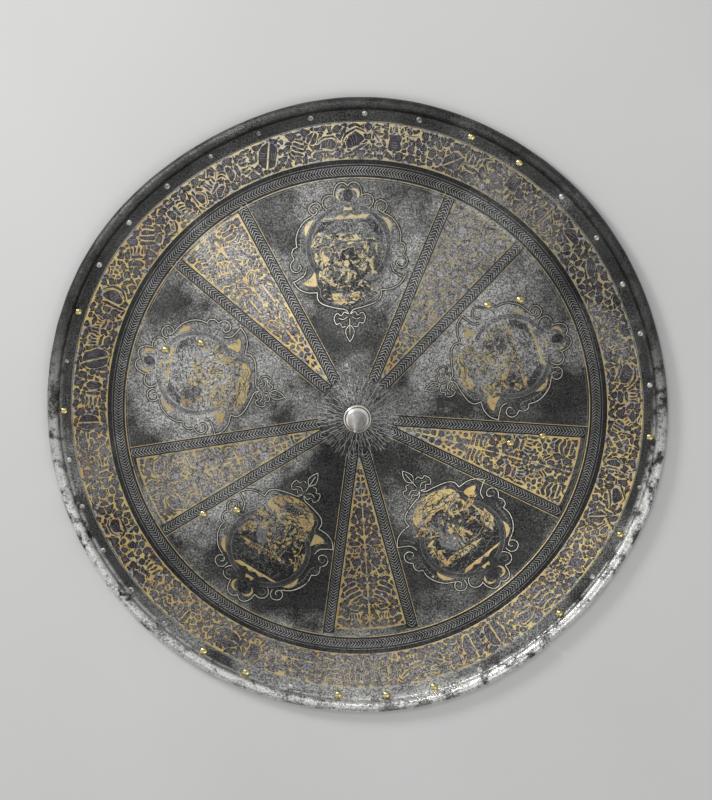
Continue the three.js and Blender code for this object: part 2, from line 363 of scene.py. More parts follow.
def gilt_finish(name, gold, orange, kept=0.5):
    """Mercury gilding over etched steel: yellow where it is whole, orange where thin, and gone
    in patches down to speckled steel. `kept` is near the share of it that is left."""
    shader = Shader(name)
    thin = shader.span(shader.noise(46, 5, 0.65), 0.42, 0.7)
    colour = shader.mix(thin, gold, orange)
    grain = shader.noise(GILT_GRAIN, 5, 0.8)
    patch = shader.noise(130, 4, 0.7)
    towards_head = shader.towards_head()
    bare = shader.span(shader.wear_and_sheen(), 0.0, 1.0, 0.0, 0.02)
    bare = shader.maths("ADD", bare, shader.span(towards_head, 0.0, 1.0, 0.0, 0.025))
    rubbed_tip = shader.span(radius_of(shader), TIP_FROM, TIP_TO, 0.0, 0.09)
    bare = shader.maths("ADD", bare, rubbed_tip)
    edge = shader.maths("ADD", patch, bare)
    lost = shader.span(edge, 0.36 + 0.26 * kept, 0.42 + 0.26 * kept)
    # Painted sheen with the wear: the gold turns paler on these patches.
    colour = shader.mix(shader.span(shader.wear_and_sheen(), 0.3, 1.1, 0.0, 0.4), colour, PALE_GOLD)
    colour = shader.mix(shader.span(towards_head, 0.0, 1.0, 0.0, 0.6), colour, DULL_GOLD)
    steel = shader.mix(shader.span(grain, 0.38, 0.60), UNDER_GILT_DARK, UNDER_GILT_PALE)
    colour = shader.mix(shader.span(grain, 0.5, 0.66, 0.0, 0.5), colour, steel)
    colour = shader.mix(lost, colour, steel)
    normal = shader.bump(grain, 0.3, 0.6)
    return shader.finish(colour, 0.9, 0.38, normal)


PLATE_STEEL = steel_finish("blackened_steel", BLACKENED, GREY_STEEL, PALE_STEEL, rim=True)
HOLLOW_STEEL = steel_finish("hollow_steel", (0.022, 0.021, 0.020), (0.085, 0.082, 0.078),
                            (0.45, 0.44, 0.42), 0.0, 0.5)
RELIEF_STEEL = steel_finish("relief_steel", (0.016, 0.014, 0.018), (0.085, 0.077, 0.093),
                            (0.70, 0.68, 0.70), 0.9, 0.4)
DARK_RELIEF = steel_finish("dark_relief", (0.012, 0.012, 0.014), (0.06, 0.06, 0.066),
                           (0.5, 0.49, 0.5), 0.4, 0.42)
STRAP_STEEL = steel_finish("strap_steel", (0.025, 0.025, 0.027), (0.12, 0.12, 0.125),
                           (0.7, 0.69, 0.7), 0.5, 0.4)
CLEAN_STEEL = steel_finish("clean_steel", (0.14, 0.14, 0.15), (0.3, 0.3, 0.31),
                           (0.66, 0.65, 0.66), 0.8, 0.36)
ROPE_STEEL = steel_finish("rope_steel", (0.24, 0.24, 0.23), (0.60, 0.595, 0.57),
                          PALE_STEEL, 1.0, 0.36)
ROPE_BED = steel_finish("rope_bed", (0.010, 0.010, 0.011), (0.030, 0.030, 0.032),
                        (0.4, 0.4, 0.4), 0.3, 0.45)
ETCHED_LINE = steel_finish("etched_line", (0.20, 0.20, 0.19), (0.46, 0.45, 0.42),
                           (0.86, 0.85, 0.82), 1.0, 0.36)
BARE_SPOT = steel_finish("bare_spot", (0.6, 0.6, 0.6), (0.8, 0.8, 0.8), (0.9, 0.9, 0.9),
                         1.0, 0.5)
GILT_GROUND = gilt_finish("gilt_ground", GOLD, ORANGE_GOLD, 0.56)
GILT_PATCH = gilt_finish("gilt_patch", GOLD, ORANGE_GOLD, 0.72)
GILT_LINE = gilt_finish("gilt_line", (0.68, 0.55, 0.26), (0.58, 0.42, 0.2), 0.72)
PALE_GILT = gilt_finish("pale_gilt", (0.92, 0.89, 0.76), (0.78, 0.73, 0.58), 0.85)


def bright_steel():
    """Filed and polished steel with a little brown stain."""
    shader = Shader("bright_steel")
    scratch = shader.noise(900, 3, 0.6)
    stain = shader.span(shader.noise(90, 4, 0.6), 0.5, 0.72, 0.0, 0.45)
    colour = shader.mix(shader.span(scratch, 0.3, 0.7), (0.74, 0.73, 0.70), (0.88, 0.87, 0.85))
    colour = shader.mix(stain, colour, (0.36, 0.32, 0.28))
    return shader.finish(colour, 0.5, shader.span(scratch, 0.3, 0.7, 0.18, 0.28),
                         shader.bump(scratch, 0.04, 0.4))


def brass(name="brass", gold=(0.74, 0.64, 0.33), stain=(0.40, 0.32, 0.14)):
    """Brass, clouded with tarnish."""
    shader = Shader(name)
    cloud = shader.noise(260, 4, 0.6)
    colour = shader.mix(shader.span(cloud, 0.4, 0.7), gold, stain)
    return shader.finish(colour, 1.0, shader.span(cloud, 0.3, 0.7, 0.16, 0.3),
                         shader.bump(shader.noise(800, 2), 0.05, 0.5))


def worn_rivet():
    """A steel rivet head rubbed clean on a dark ground."""
    shader = Shader("worn_rivet")
    cloud = shader.noise(160, 4, 0.7)
    colour = shader.mix(shader.span(cloud, 0.42, 0.6), (0.62, 0.61, 0.58), (0.16, 0.15, 0.14))
    return shader.finish(colour, 0.9, 0.38, shader.bump(shader.noise(900, 3), 0.1, 0.6))


def leather():
    """Dark brown strap leather, finely creased."""
    shader = Shader("leather")
    cloud = shader.noise(45, 5, 0.65)
    crease = shader.cells(420, "DISTANCE_TO_EDGE")
    colour = shader.mix(shader.span(cloud, 0.3, 0.7), (0.045, 0.022, 0.011), (0.13, 0.065, 0.03))
    colour = shader.mix(shader.span(crease, 0.0, 0.08, 0.6, 0.0), colour, (0.02, 0.01, 0.006))
    return shader.finish(colour, 0.0, shader.span(cloud, 0.3, 0.7, 0.5, 0.75),
                         shader.bump(crease, 0.3, 0.5))


def floor_finish():
    """A plain pale matt floor."""
    shader = Shader("floor")
    tone = shader.noise(3, 3, 0.5)
    colour = shader.mix(shader.span(tone, 0.3, 0.7), (0.60, 0.60, 0.595), (0.64, 0.64, 0.635))
    return shader.finish(colour, 0.0, 0.9)


BRIGHT_STEEL = bright_steel()
BRASS = brass()
DULL_GILT = brass("dull_gilt", (0.30, 0.25, 0.12), (0.14, 0.12, 0.07))
WORN_RIVET = worn_rivet()
LEATHER = leather()


# ---------------------------------------------------------------- plate

PLATE_TURNS = 540
FACE_MARKS, HOLLOW_MARKS = (7, 9, 0.16), (11, 12, 0.22)   # hammering: seed, waves, depth
SPRUNG_OVER = 9                   # degrees past the crack in which the rim comes back to line


def plate_section():
    """Radius and height round the section: outer face, rolled rim, flat foot, hollow face."""
    roll_centre = OUTER_R - ROLL_R
    start = roll_centre - math.sqrt(ROLL_R ** 2 - (ROLL_R - FLANGE_Z) ** 2)
    out = list(np.arange(4, 200, 7.0)) + list(np.arange(200, start - 0.6, 3.0)) + [start - 0.4]
    top = [(r, float(face_height(r))) for r in out]
    roll = []
    for angle in np.arange(165, -70, -11.0):
        a = math.radians(angle)
        roll.append((roll_centre + ROLL_R * math.cos(a), ROLL_R + ROLL_R * math.sin(a)))
    foot = [(roll_centre + ROLL_FOOT, 0.0), (roll_centre - ROLL_FOOT, 0.0)]
    back = [(start + 1.0, FLANGE_Z - SHEET)]
    back += [(r, float(face_height(r)) - SHEET) for r in reversed(out[::2])]
    return top + roll + foot + back


def ripple(angle, radius, seed, waves, size):
    """Small uneven hammer marks: a seeded sum of waves round and across the sheet."""
    rng = random.Random(seed)
    total = np.zeros_like(angle)
    for _ in range(waves):
        around = rng.randint(14, 60)
        across = rng.uniform(-0.12, 0.12)
        total += np.cos(around * angle + across * radius + rng.uniform(0, 6.28))
    return size * total / math.sqrt(waves)


def plate_angles():
    """Even steps round the plate, and closer ones where the rolled rim has split."""
    even = np.arange(PLATE_TURNS) * 360 / PLATE_TURNS
    at = SPLIT_ANGLE % 360
    even = even[np.abs(even - at) > 2 * SPLIT_HALF]
    near = at + SPLIT_HALF * np.array([-1.3, -1.0, -0.3, 0.3, 1.0, 1.3])
    return np.radians(np.sort(np.concatenate([even, near])))


def shield_plate():
    """The whole forged sheet: hammered face, rolled and cracked rim, and hollow back."""
    section = plate_section()
    angle = plate_angles()
    turns = len(angle)
    past = np.degrees((angle - math.radians(SPLIT_ANGLE) + math.pi) % (2 * math.pi) - math.pi)
    gap = np.abs(past) < SPLIT_HALF + 0.01
    sprung = np.where(past > 0, np.clip(1 - past / SPRUNG_OVER, 0, 1), 0) * SPRUNG
    vertices = []
    top_count = next(i for i, p in enumerate(section) if p[0] > OUTER_R - 2 * ROLL_R)
    for i, (radius, z) in enumerate(section):
        r = np.full(turns, radius)
        if radius > SPLIT_DEPTH_R:
            r = np.where(gap, SPLIT_DEPTH_R, r - sprung)
        x, y = hammered(r * np.cos(angle), r * np.sin(angle))
        marks = ripple(angle, r, *FACE_MARKS)
        rim = radius > OUTER_R - 2 * ROLL_R - 1
        height = np.full(turns, z)
        if radius > SPLIT_DEPTH_R:
            height = np.where(gap, np.minimum(height, FLANGE_Z) * 0.6, height)
        if rim and z > 1:
            inward = 1 - (0.35 + np.abs(marks)) * min(1, z / ROLL_R) / OUTER_R
            x, y = x * inward, y * inward
            height = height + marks * 0.8
        elif i >= top_count and z > 1:
            height = height + ripple(angle, r, *HOLLOW_MARKS)
        vertices.append(np.column_stack([x * MM + CENTRE.x, y * MM + CENTRE.y, height * MM]))
    vertices = np.concatenate(vertices)
    starts = [ring * turns for ring in range(len(section))]
    faces = quads([*starts, 0], turns)
    folded = next(i for i in range(top_count + 1, len(section))
                  if section[i][1] == FLANGE_Z - SHEET)
    hollow = range(folded * turns, len(faces))
    plate = new_object("plate", vertices, faces, PLATE_STEEL, True, HOLLOW_STEEL, hollow)
    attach(plate, "root")
    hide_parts("shield_plate")
    return plate


# ---------------------------------------------------------------- relief

class Relief:
    """Low relief gathered into one mesh: slabs with eased edges, and ribbons along lines."""

    def __init__(self):
        self.vertices = []
        self.faces = []
        self.walls = []

    def add(self, points, height):
        first = len(self.vertices)
        self.vertices.extend(on_face(points, height))
        return first

    def slab(self, outline, height=0.35, ease=0.3):
        """A raised shape inside a closed outline that runs anticlockwise."""
        outline = np.asarray(outline, float)
        if area(outline) < 0:
            outline = outline[::-1]
        n = len(outline)
        ahead = np.roll(outline, -1, 0) - outline
        behind = outline - np.roll(outline, 1, 0)
        along = ahead / (np.linalg.norm(ahead, axis=1, keepdims=True) + 1e-9)
        along += behind / (np.linalg.norm(behind, axis=1, keepdims=True) + 1e-9)
        along /= np.linalg.norm(along, axis=1, keepdims=True) + 1e-9
        inward = np.column_stack([-along[:, 1], along[:, 0]])
        low = self.add(outline, ROOT)
        high = self.add(outline + inward * ease, height)
        for i in range(n):
            j = (i + 1) % n
            self.walls.append(len(self.faces))
            self.faces.append((low + i, low + j, high + j, high + i))
        flat = [Vector((p[0], p[1], 0)) for p in outline]
        for a, b, c in tessellate_polygon([flat]):
            corners = (a, b, c)
            if area(outline[list(corners)]) < 0:
                corners = (a, c, b)
            self.faces.append(tuple(high + k for k in corners))

    def ribbon(self, line, width=0.9, height=0.3, closed=False):
        """A fillet of eased section that follows a line."""
        line = np.asarray(line, float)
        if closed:
            along = np.roll(line, -1, 0) - np.roll(line, 1, 0)
        else:
            along = np.gradient(line, axis=0)
        along /= np.linalg.norm(along, axis=1, keepdims=True) + 1e-9
        side = np.column_stack([-along[:, 1], along[:, 0]]) * width / 2
        rails = [self.add(line + side, ROOT), self.add(line + side * 0.45, height),
                 self.add(line - side * 0.45, height), self.add(line - side, ROOT)]
        n = len(line)
        for i in range(n if closed else n - 1):
            j = (i + 1) % n
            for a, b in zip(rails, rails[1:]):
                self.faces.append((a + i, b + i, b + j, a + j))

    def build(self, name, material, wall=None, slot="etched_steel"):
        obj = new_object(name, self.vertices, self.faces, material, False, wall, self.walls)
        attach(obj, "root")
        return obj


def area(outline):
    x, y = outline[:, 0], outline[:, 1]
    return 0.5 * float(np.sum(x * np.roll(y, -1) - y * np.roll(x, -1)))


RING_STEPS, LINE_STEPS = 480, 60


def circle(radius):
    a = np.arange(RING_STEPS) * 2 * math.pi / RING_STEPS
    return np.column_stack([radius * np.cos(a), radius * np.sin(a)])


def arc(cx, cy, radius, start, end, steps=10):
    a = np.radians(np.linspace(start, end, steps))
    return np.column_stack([cx + radius * np.cos(a), cy + radius * np.sin(a)])


def ellipse(cx, cy, rx, ry, sides=14, turn=0.0):
    a = np.arange(sides) * 2 * math.pi / sides
    points = np.column_stack([rx * np.cos(a), ry * np.sin(a)])
    return points @ rotation(turn).T + (cx, cy)


def rotation(degrees):
    a = math.radians(degrees)
    return np.array([[math.cos(a), -math.sin(a)], [math.sin(a), math.cos(a)]])


def rounded(points, times=1):
    """Cuts the corners of a closed outline."""
    points = np.asarray(points, float)
    for _ in range(times):
        ahead = np.roll(points, -1, 0)
        points = np.stack([points * 0.75 + ahead * 0.25, points * 0.25 + ahead * 0.75], 1)
        points = points.reshape(-1, 2)
    return points


def smooth_line(points, steps=6):
    """A Catmull-Rom curve through points."""
    p = np.asarray(points, float)
    p = np.vstack([2 * p[0] - p[1], p, 2 * p[-1] - p[-2]])
    curve = []
    for i in range(1, len(p) - 2):
        for t in np.linspace(0, 1, steps, endpoint=False):
            curve.append(0.5 * (2 * p[i] + (p[i + 1] - p[i - 1]) * t
                                + (2 * p[i - 1] - 5 * p[i] + 4 * p[i + 1] - p[i + 2]) * t ** 2
                                + (3 * p[i] - p[i - 1] - 3 * p[i + 1] + p[i + 2]) * t ** 3))
    curve.append(p[-2])
    return np.array(curve)


def leaf(x, y, length, width, turn=0.0, sides=5):
    """A pointed leaf that grows from x, y; turn 0 points along +Y."""
    t = np.linspace(0, 1, sides + 1)
    bulge = width / 2 * np.sin(math.pi * t ** 0.85)
    right = np.column_stack([bulge, t * length])
    left = np.column_stack([-bulge, t * length])[::-1][1:-1]
    return np.vstack([right, left]) @ rotation(turn).T + (x, y)


def crescent(cx, cy, outer, thick, start, end, steps=7):
    """A crescent between two angles, thickest in its middle."""
    a = np.radians(np.linspace(start, end, steps))
    inner = outer - thick * np.sin(np.linspace(0.12, math.pi - 0.12, steps))
    out = np.column_stack([cx + outer * np.cos(a), cy + outer * np.sin(a)])
    back = np.column_stack([cx + inner * np.cos(a), cy + inner * np.sin(a)])[::-1]
    return np.vstack([out, back])


def mirrored(shapes):
    return [shape * (-1, 1) for shape in shapes]


# ---------------------------------------------------------------- trophies of arms
# Each motif is a list of outlines about one unit in radius, its head towards +Y.

def helmet():
    return [
        rounded([(-0.75, -0.1), (-0.72, 0.5), (-0.2, 0.82), (0.35, 0.7), (0.7, 0.3), (0.7, -0.1)]),
        crescent(-0.05, 0.05, 1.05, 0.2, 20, 165, 7),
        rounded([(-0.8, -0.22), (0.95, -0.22), (1.05, -0.42), (-0.65, -0.42)]),
        rounded([(-0.5, -0.54), (0.3, -0.54), (0.12, -1.0), (-0.4, -0.9)]),
    ]


def cuirass():
    arm = rounded([(-0.72, 0.6), (-1.02, 0.15), (-0.82, -0.05), (-0.58, 0.3)])
    lappets = [rounded([(x, -0.58), (x + 0.26, -0.58), (x + 0.22, -1.0), (x + 0.04, -1.0)])
               for x in (-0.5, -0.13, 0.24)]
    return [
        rounded([(-0.5, 0.66), (-0.2, 0.75), (0, 0.5), (0.2, 0.75), (0.5, 0.66), (0.42, -0.05),
                 (0.5, -0.46), (-0.5, -0.46), (-0.42, -0.05)]),
        arm, arm * (-1, 1), *lappets]


def rosette():
    petals = []
    for i in range(7):
        petals.append(rounded([(0.16, 0.48), (0.34, 0.92), (-0.34, 0.92), (-0.16, 0.48)])
                      @ rotation(i * 360 / 7).T)
    return [ellipse(0, 0, 0.34, 0.34, 9), *petals]


def oval_shield():
    half = np.vstack([arc(0.06, 0, 1.0, -88, 88, 8) * (0.68, 1)])
    return [half, half * (-1, 1)]


def spray():
    return [leaf(0, -0.9, 1.85, 0.5), leaf(-0.12, -0.85, 1.5, 0.44, 38),
            leaf(0.12, -0.85, 1.5, 0.44, -38), leaf(-0.2, -0.9, 1.0, 0.36, 78),
            leaf(0.2, -0.9, 1.0, 0.36, -78)]


def gauntlet():
    fingers = [leaf(x, 0.08, 0.85, 0.24, -x * 22, 4) for x in (-0.42, -0.14, 0.14, 0.42)]
    return [rounded([(-0.7, -1.0), (0.7, -1.0), (0.42, -0.42), (-0.42, -0.42)]),
            rounded([(-0.5, -0.3), (0.5, -0.3), (0.55, 0.0), (-0.55, 0.0)]), *fingers]


def drum():
    bands = []
    for y in (-0.75, -0.25, 0.25):
        bands.append(rounded([(-0.72, y), (0.0, y - 0.14), (0.72, y), (0.72, y + 0.38),
                              (0.0, y + 0.26), (-0.72, y + 0.38)]))
    return [*bands, ellipse(0, 0.82, 0.6, 0.17, 10)]


def axe():
    return [rounded([(-0.08, -1.0), (0.08, -1.0), (0.08, 1.0), (-0.08, 1.0)]),
            rounded([(0.2, 0.75), (0.85, 0.95), (0.95, 0.35), (0.75, -0.2), (0.2, 0.2)]),
            leaf(-0.18, 0.5, 0.7, 0.34, 90)]


def horn():
    return [crescent(0.15, 0.0, 0.95, 0.42, 70, 290, 9), ellipse(0.62, 0.72, 0.3, 0.2, 8, 40),
            ellipse(0.15, -0.05, 0.26, 0.4, 9)]


def mask():
    cheek = rounded([(-0.16, -0.05), (-0.72, 0.12), (-0.62, -0.5), (-0.2, -0.5)])
    return [rounded([(-0.75, 0.3), (0.75, 0.3), (0.6, 0.85), (0, 1.0), (-0.6, 0.85)]),
            cheek, cheek * (-1, 1),
            rounded([(-0.42, -0.62), (0.42, -0.62), (0.2, -1.0), (-0.2, -1.0)])]


def banner():
    return [rounded([(-0.85, -1.0), (-0.7, -1.0), (-0.7, 1.0), (-0.85, 1.0)]),
            rounded([(-0.58, 0.85), (0.1, 0.7), (0.8, 0.9), (0.7, 0.5), (0.1, 0.3),
                     (-0.58, 0.45)]),
            rounded([(-0.58, 0.32), (0.1, 0.17), (0.7, 0.35), (0.5, -0.1), (0.0, -0.25),
                     (-0.58, -0.05)])]


def warrior():
    """A frontal armed figure, four units tall, arms out, its head towards +Y."""
    side = [
        rounded([(0.5, 1.02), (1.3, 0.86), (1.36, 0.66), (0.55, 0.68)]),
        rounded([(1.42, 0.9), (1.72, 1.5), (1.54, 1.56), (1.28, 0.98)]),
        leaf(0.2, 2.0, 0.62, 0.3, -62),
        rounded([(0.05, -0.72), (0.42, -0.72), (0.4, -1.32), (0.12, -1.32)]),
        rounded([(0.12, -1.42), (0.4, -1.42), (0.36, -2.0), (0.58, -2.12), (0.12, -2.12)]),
        rounded([(0.3, -0.05), (0.56, -0.05), (0.72, -0.62), (0.42, -0.62)]),
    ]
    middle = [
        ellipse(0, 1.42, 0.22, 0.26, 10), crescent(0, 1.5, 0.42, 0.16, 15, 165, 7),
        rounded([(-0.46, 1.08), (0.46, 1.08), (0.34, 0.5), (0.38, 0.08), (-0.38, 0.08),
                 (-0.34, 0.5)]),
        rounded([(-0.22, -0.05), (0.22, -0.05), (0.32, -0.62), (-0.32, -0.62)]),
    ]
    return middle + side + mirrored(side)


LARGE = [helmet, cuirass, rosette, oval_shield, mask, gauntlet, drum]
MEDIUM = [spray, helmet, axe, horn, banner, oval_shield, rosette, cuirass, drum]


def moved(shapes, x, y, turn=0.0, scale=1.0, flip=False):
    way = (-scale, scale) if flip else (scale, scale)
    return [(shape * way) @ rotation(turn).T + (x, y) for shape in shapes]


# ---------------------------------------------------------------- packing

class Panel:
    """A grid that remembers which of its cells are taken, so motifs are set close together."""
    CELL = 0.5

    def __init__(self, low, high, inside):
        self.low = np.array(low, float)
        size = np.ceil((np.array(high) - self.low) / self.CELL).astype(int)
        gx, gy = np.meshgrid(np.arange(size[0]), np.arange(size[1]), indexing="ij")
        x = self.low[0] + (gx + 0.5) * self.CELL
        y = self.low[1] + (gy + 0.5) * self.CELL
        self.taken = ~inside(x, y)
        self.masks = {}

    def is_taken(self, x, y):
        i, j = int((x - self.low[0]) / self.CELL), int((y - self.low[1]) / self.CELL)
        if not (0 <= i < self.taken.shape[0] and 0 <= j < self.taken.shape[1]):
            return True
        return bool(self.taken[i, j])

    def mask(self, key, shapes):
        """Cells under a motif about its own origin, and its lowest cell."""
        if key not in self.masks:
            joined = np.vstack(shapes)
            low = np.floor(joined.min(0) / self.CELL).astype(int) - 1
            size = np.ceil(joined.max(0) / self.CELL).astype(int) + 2 - low
            gx, gy = np.meshgrid(np.arange(size[0]), np.arange(size[1]), indexing="ij")
            x, y = (gx + low[0] + 0.5) * self.CELL, (gy + low[1] + 0.5) * self.CELL
            filled = np.zeros(x.shape, bool)
            for shape in shapes:
                filled |= inside_outline(shape, x, y)
            self.masks[key] = (filled, grown(filled), low)
        return self.masks[key]

    def take(self, outline):
        """Takes the cells inside one outline, free or not."""
        low = np.floor((outline.min(0) - self.low) / self.CELL).astype(int)
        high = np.ceil((outline.max(0) - self.low) / self.CELL).astype(int)
        low, high = np.maximum(low, 0), np.minimum(high, self.taken.shape)
        gx, gy = np.meshgrid(np.arange(low[0], high[0]), np.arange(low[1], high[1]), indexing="ij")
        x, y = self.low[0] + (gx + 0.5) * self.CELL, self.low[1] + (gy + 0.5) * self.CELL
        self.taken[low[0]:high[0], low[1]:high[1]] |= inside_outline(outline, x, y)

    def put(self, key, shapes, x, y):
        """Takes the motif's cells if all of them are free."""
        filled, spread, low = self.mask(key, shapes)
        at = np.round((np.array([x, y]) - self.low) / self.CELL).astype(int) + low
        end = at + filled.shape
        if at.min() < 0 or end[0] > self.taken.shape[0] or end[1] > self.taken.shape[1]:
            return False
        window = self.taken[at[0]:end[0], at[1]:end[1]]
        if (window & filled).any():
            return False
        window |= spread
        return True


def grown(cells):
    """The cells and those beside them: the gold gap that is left round a motif."""
    out = cells.copy()
    out[1:] |= cells[:-1]
    out[:-1] |= cells[1:]
    out[:, 1:] |= cells[:, :-1]
    out[:, :-1] |= cells[:, 1:]
    return out


def inside_outline(outline, x, y):
    inside = np.zeros(x.shape, bool)
    x0, y0 = outline[-1]
    for x1, y1 in outline:
        crosses = (y0 > y) != (y1 > y)
        if y1 != y0:
            inside ^= crosses & (x < (x1 - x0) * (y - y0) / (y1 - y0) + x0)
        x0, y0 = x1, y1
    return inside


def scatter(panel, rng, motifs, sizes, tries, turns, reach):
    """Seeded dart throwing, largest motifs first; yields the outlines that found room."""
    (x_low, x_high), (y_low, y_high) = reach
    for size in sizes:
        for _ in range(tries):
            motif = rng.choice(motifs)
            turn = rng.choice(turns)
            flip = rng.random() < 0.5
            x, y = rng.uniform(x_low, x_high), rng.uniform(y_low, y_high)
            key = (motif.__name__, size, turn, flip)
            shapes = moved(motif(), 0, 0, turn, size, flip) if key not in panel.masks else ()
            if panel.put(key, shapes, x, y):
                yield moved(motif(), x, y, turn, size, flip)


def leftovers(panel, rng, spacing, reach, tries, gap=1.6, bare=0.05):
    """Fills what the motifs leave with scraps of leaf and armour. Each one reaches halfway to
    its neighbours, so that a net of the ground shows between them."""
    (x_low, x_high), (y_low, y_high) = reach
    sites = []
    for _ in range(tries):
        x, y = rng.uniform(x_low, x_high), rng.uniform(y_low, y_high)
        if panel.is_taken(x, y):
            continue
        if all((x - p) ** 2 + (y - q) ** 2 > spacing ** 2 for p, q in sites):
            sites.append((x, y))
    sites = np.array(sites)
    rays = np.arange(18) * 2 * math.pi / 18
    ways = np.column_stack([np.cos(rays), np.sin(rays)])
    for site in sites:
        if rng.random() < bare:
            continue
        away = sites - site
        near = away[(np.abs(away).max(1) < 3 * spacing) & (np.abs(away).max(1) > 0)]
        toward = near @ ways.T
        half = (near ** 2).sum(1)[:, None] / (2 * np.maximum(toward, 1e-6))
        free = np.min(np.where(toward > 0, half, 99), axis=0, initial=1.5 * spacing) - gap / 2
        for k, way in enumerate(ways):
            step = 0.25
            while step < free[k] and not panel.is_taken(*(site + way * (step + 0.25))):
                step += 0.25
            free[k] = min(free[k], step)
        free *= 1 - 0.22 * np.array([rng.random() ** 2 for _ in rays])
        free = 0.6 * free + 0.2 * (np.roll(free, 1) + np.roll(free, -1))
        if free.mean() > 0.6:
            scrap = site + ways * np.maximum(free, 0.25)[:, None]
            panel.take(scrap)
            yield [scrap]


def bent(points, seed, size=0.75):
    """Points drawn aside by a slow seeded ripple, so that nothing looks ruled."""
    rng = random.Random(seed)
    x, y = points[:, 0].copy(), points[:, 1].copy()
    moved_x, moved_y = x.copy(), y.copy()
    for _ in range(5):
        length = rng.uniform(7, 16)
        turn = rng.uniform(0, 2 * math.pi)
        phase = rng.uniform(0, 2 * math.pi)
        wave = np.sin((x * math.cos(turn) + y * math.sin(turn)) * 2 * math.pi / length + phase)
        moved_x += wave * size * 0.6 * math.cos(turn + 1.4)
        moved_y += wave * size * 0.6 * math.sin(turn + 1.4)
    return np.column_stack([moved_x, moved_y])


def graved(outline, rng):
    """Two or three short lines cut into a shape, alongside each other."""
    middle = outline.mean(0)
    reach = np.linalg.norm(outline - middle, axis=1).min()
    if reach < 1.3:
        return []
    turn = rotation(rng.uniform(0, 180))
    lines = []
    for aside in ((-0.42, 0.3) if reach < 2.6 else (-0.5, 0.0, 0.5)):
        half = reach * rng.uniform(0.5, 0.75)
        line = np.array([(-half, aside * reach - 0.15), (0, aside * reach + 0.25),
                         (half, aside * reach - 0.15)])
        lines.append(line @ turn.T + middle)
    return lines



def lay_trophies(relief, lines, shapes, place, rng):
    """Raises each outline with its graved lines, where `place` puts its points."""
    for shape in shapes:
        relief.slab(place(shape), TROPHY_HEIGHT, WALL)
        for line in graved(shape, rng):
            lines.ribbon(place(line), GRAVING_WIDTH, GRAVING_HEIGHT)


# ---------------------------------------------------------------- ornament of the band

def band_point(points):
    """From a straight strip to the ring: x runs round it, y is the radius."""
    middle = (ROPE_OUT + FLANGE_R) / 2
    angle = points[:, 0] / middle
    return np.column_stack([points[:, 1] * np.cos(angle), points[:, 1] * np.sin(angle)])


def band_ornament():
    """Trophies packed all round the band, the larger ones mostly upright or upside down."""
    rng = random.Random(41)
    length = 2 * math.pi * (ROPE_OUT + FLANGE_R) / 2
    low, high = ROPE_OUT + 1.2, FLANGE_R - 1.4
    strip = Panel((0, low), (length, high), lambda x, y: (y > low) & (y < high))
    relief, lines = Relief(), Relief()
    reach = ((0, length), (low, high))
    upright = (0, 0, 180, -25, 25, -50, 50, 90, -90)
    layers = [
        scatter(strip, rng, LARGE, (12.5, 10.0, 8.0), 260, upright, reach),
        scatter(strip, rng, MEDIUM, (6.2,), 400, ALL_TURNS, reach),
        leftovers(strip, rng, 6.8, reach, 9000),
        leftovers(strip, rng, 4.2, reach, 9000, 1.2),
    ]
    for layer in layers:
        for shapes in layer:
            lay_trophies(relief, lines, shapes, lambda points: band_point(bent(points, 3)), rng)
    relief.build("band_trophies", RELIEF_STEEL, ROPE_BED)
    lines.build("band_graving", ETCHED_LINE)


# ---------------------------------------------------------------- ornament of the wedges

WEDGE_SLOPE = math.tan(math.radians(WEDGE_HALF_ANGLE))
PANEL_END = ROPE_IN - 5.5


def wedge_half_width(along):
    return WEDGE_SLOPE * (along + WEDGE_BACK)


def panel_half_width(along):
    return wedge_half_width(along) - WEDGE_ROPE / math.cos(math.radians(WEDGE_HALF_ANGLE))


def to_wedge(points, angle):
    """From a wedge's own plan, x across and y out from the centre, to the shield's."""
    return np.asarray(points) @ rotation(angle - 90).T + DESIGN_CENTRE


def in_panel(x, y):
    width = panel_half_width(y) - 1.1
    return (x > 0.5) & (x < width) & (np.hypot(x, y) < PANEL_END - 1.2)


def wedge_ornament():
    """Trophies in each wedge: a spine of motifs on its axis, and mirrored fill beside it."""
    relief, lines = Relief(), Relief()
    for number, angle in enumerate(WEDGES):
        rng = random.Random(100 + number)
        panel = Panel((-32, WEDGE_START), (36, PANEL_END), lambda x, y: in_panel(np.abs(x), y))
        shapes = []
        for motif, size, along in wedge_spine(number):
            drawn = moved(motif(), 0, 0, 0, size)
            if panel.put((motif.__name__, size, "spine"), drawn, 0, along):
                shapes += moved(motif(), 0, along, 0, size)
        panel.taken[:64] = True         # only the right half is filled; the left mirrors it
        reach = ((0, 34), (WEDGE_START, PANEL_END))
        for layer in (scatter(panel, rng, LARGE, (10.0, 8.0), 120, (0, 0, 180, -30, 30), reach),
                      scatter(panel, rng, MEDIUM, (5.6,), 150, ALL_TURNS, reach),
                      leftovers(panel, rng, 6.4, (reach[0], (95, PANEL_END)), 1500),
                      leftovers(panel, rng, 4.2, reach, 1500, 1.2)):
            for found in layer:
                found = [bent(shape, number, 0.5) for shape in found]
                shapes += found + mirrored(found)
        lay_trophies(relief, lines, shapes, lambda points: to_wedge(points, angle), rng)
    relief.build("wedge_trophies", RELIEF_STEEL, ROPE_BED)
    lines.build("wedge_graving", ETCHED_LINE)


def wedge_spine(number):
    """What stands on a wedge's axis: motifs growing outwards, and the warrior at the end."""
    order = [spray, mask, cuirass, oval_shield, helmet, rosette, mask, cuirass]
    order = order[number:] + order[:number]
    along, spine = 52.0, []
    while along < PANEL_END - 62:
        size = 0.36 * panel_half_width(along) + 1.2
        along += size
        spine.append((order[len(spine) % len(order)], min(size, 7.0), along))
        along += size + 2.0
    spine.append((warrior, 9.5, PANEL_END - 27))
    return spine


# ---------------------------------------------------------------- gilt grounds and fillets

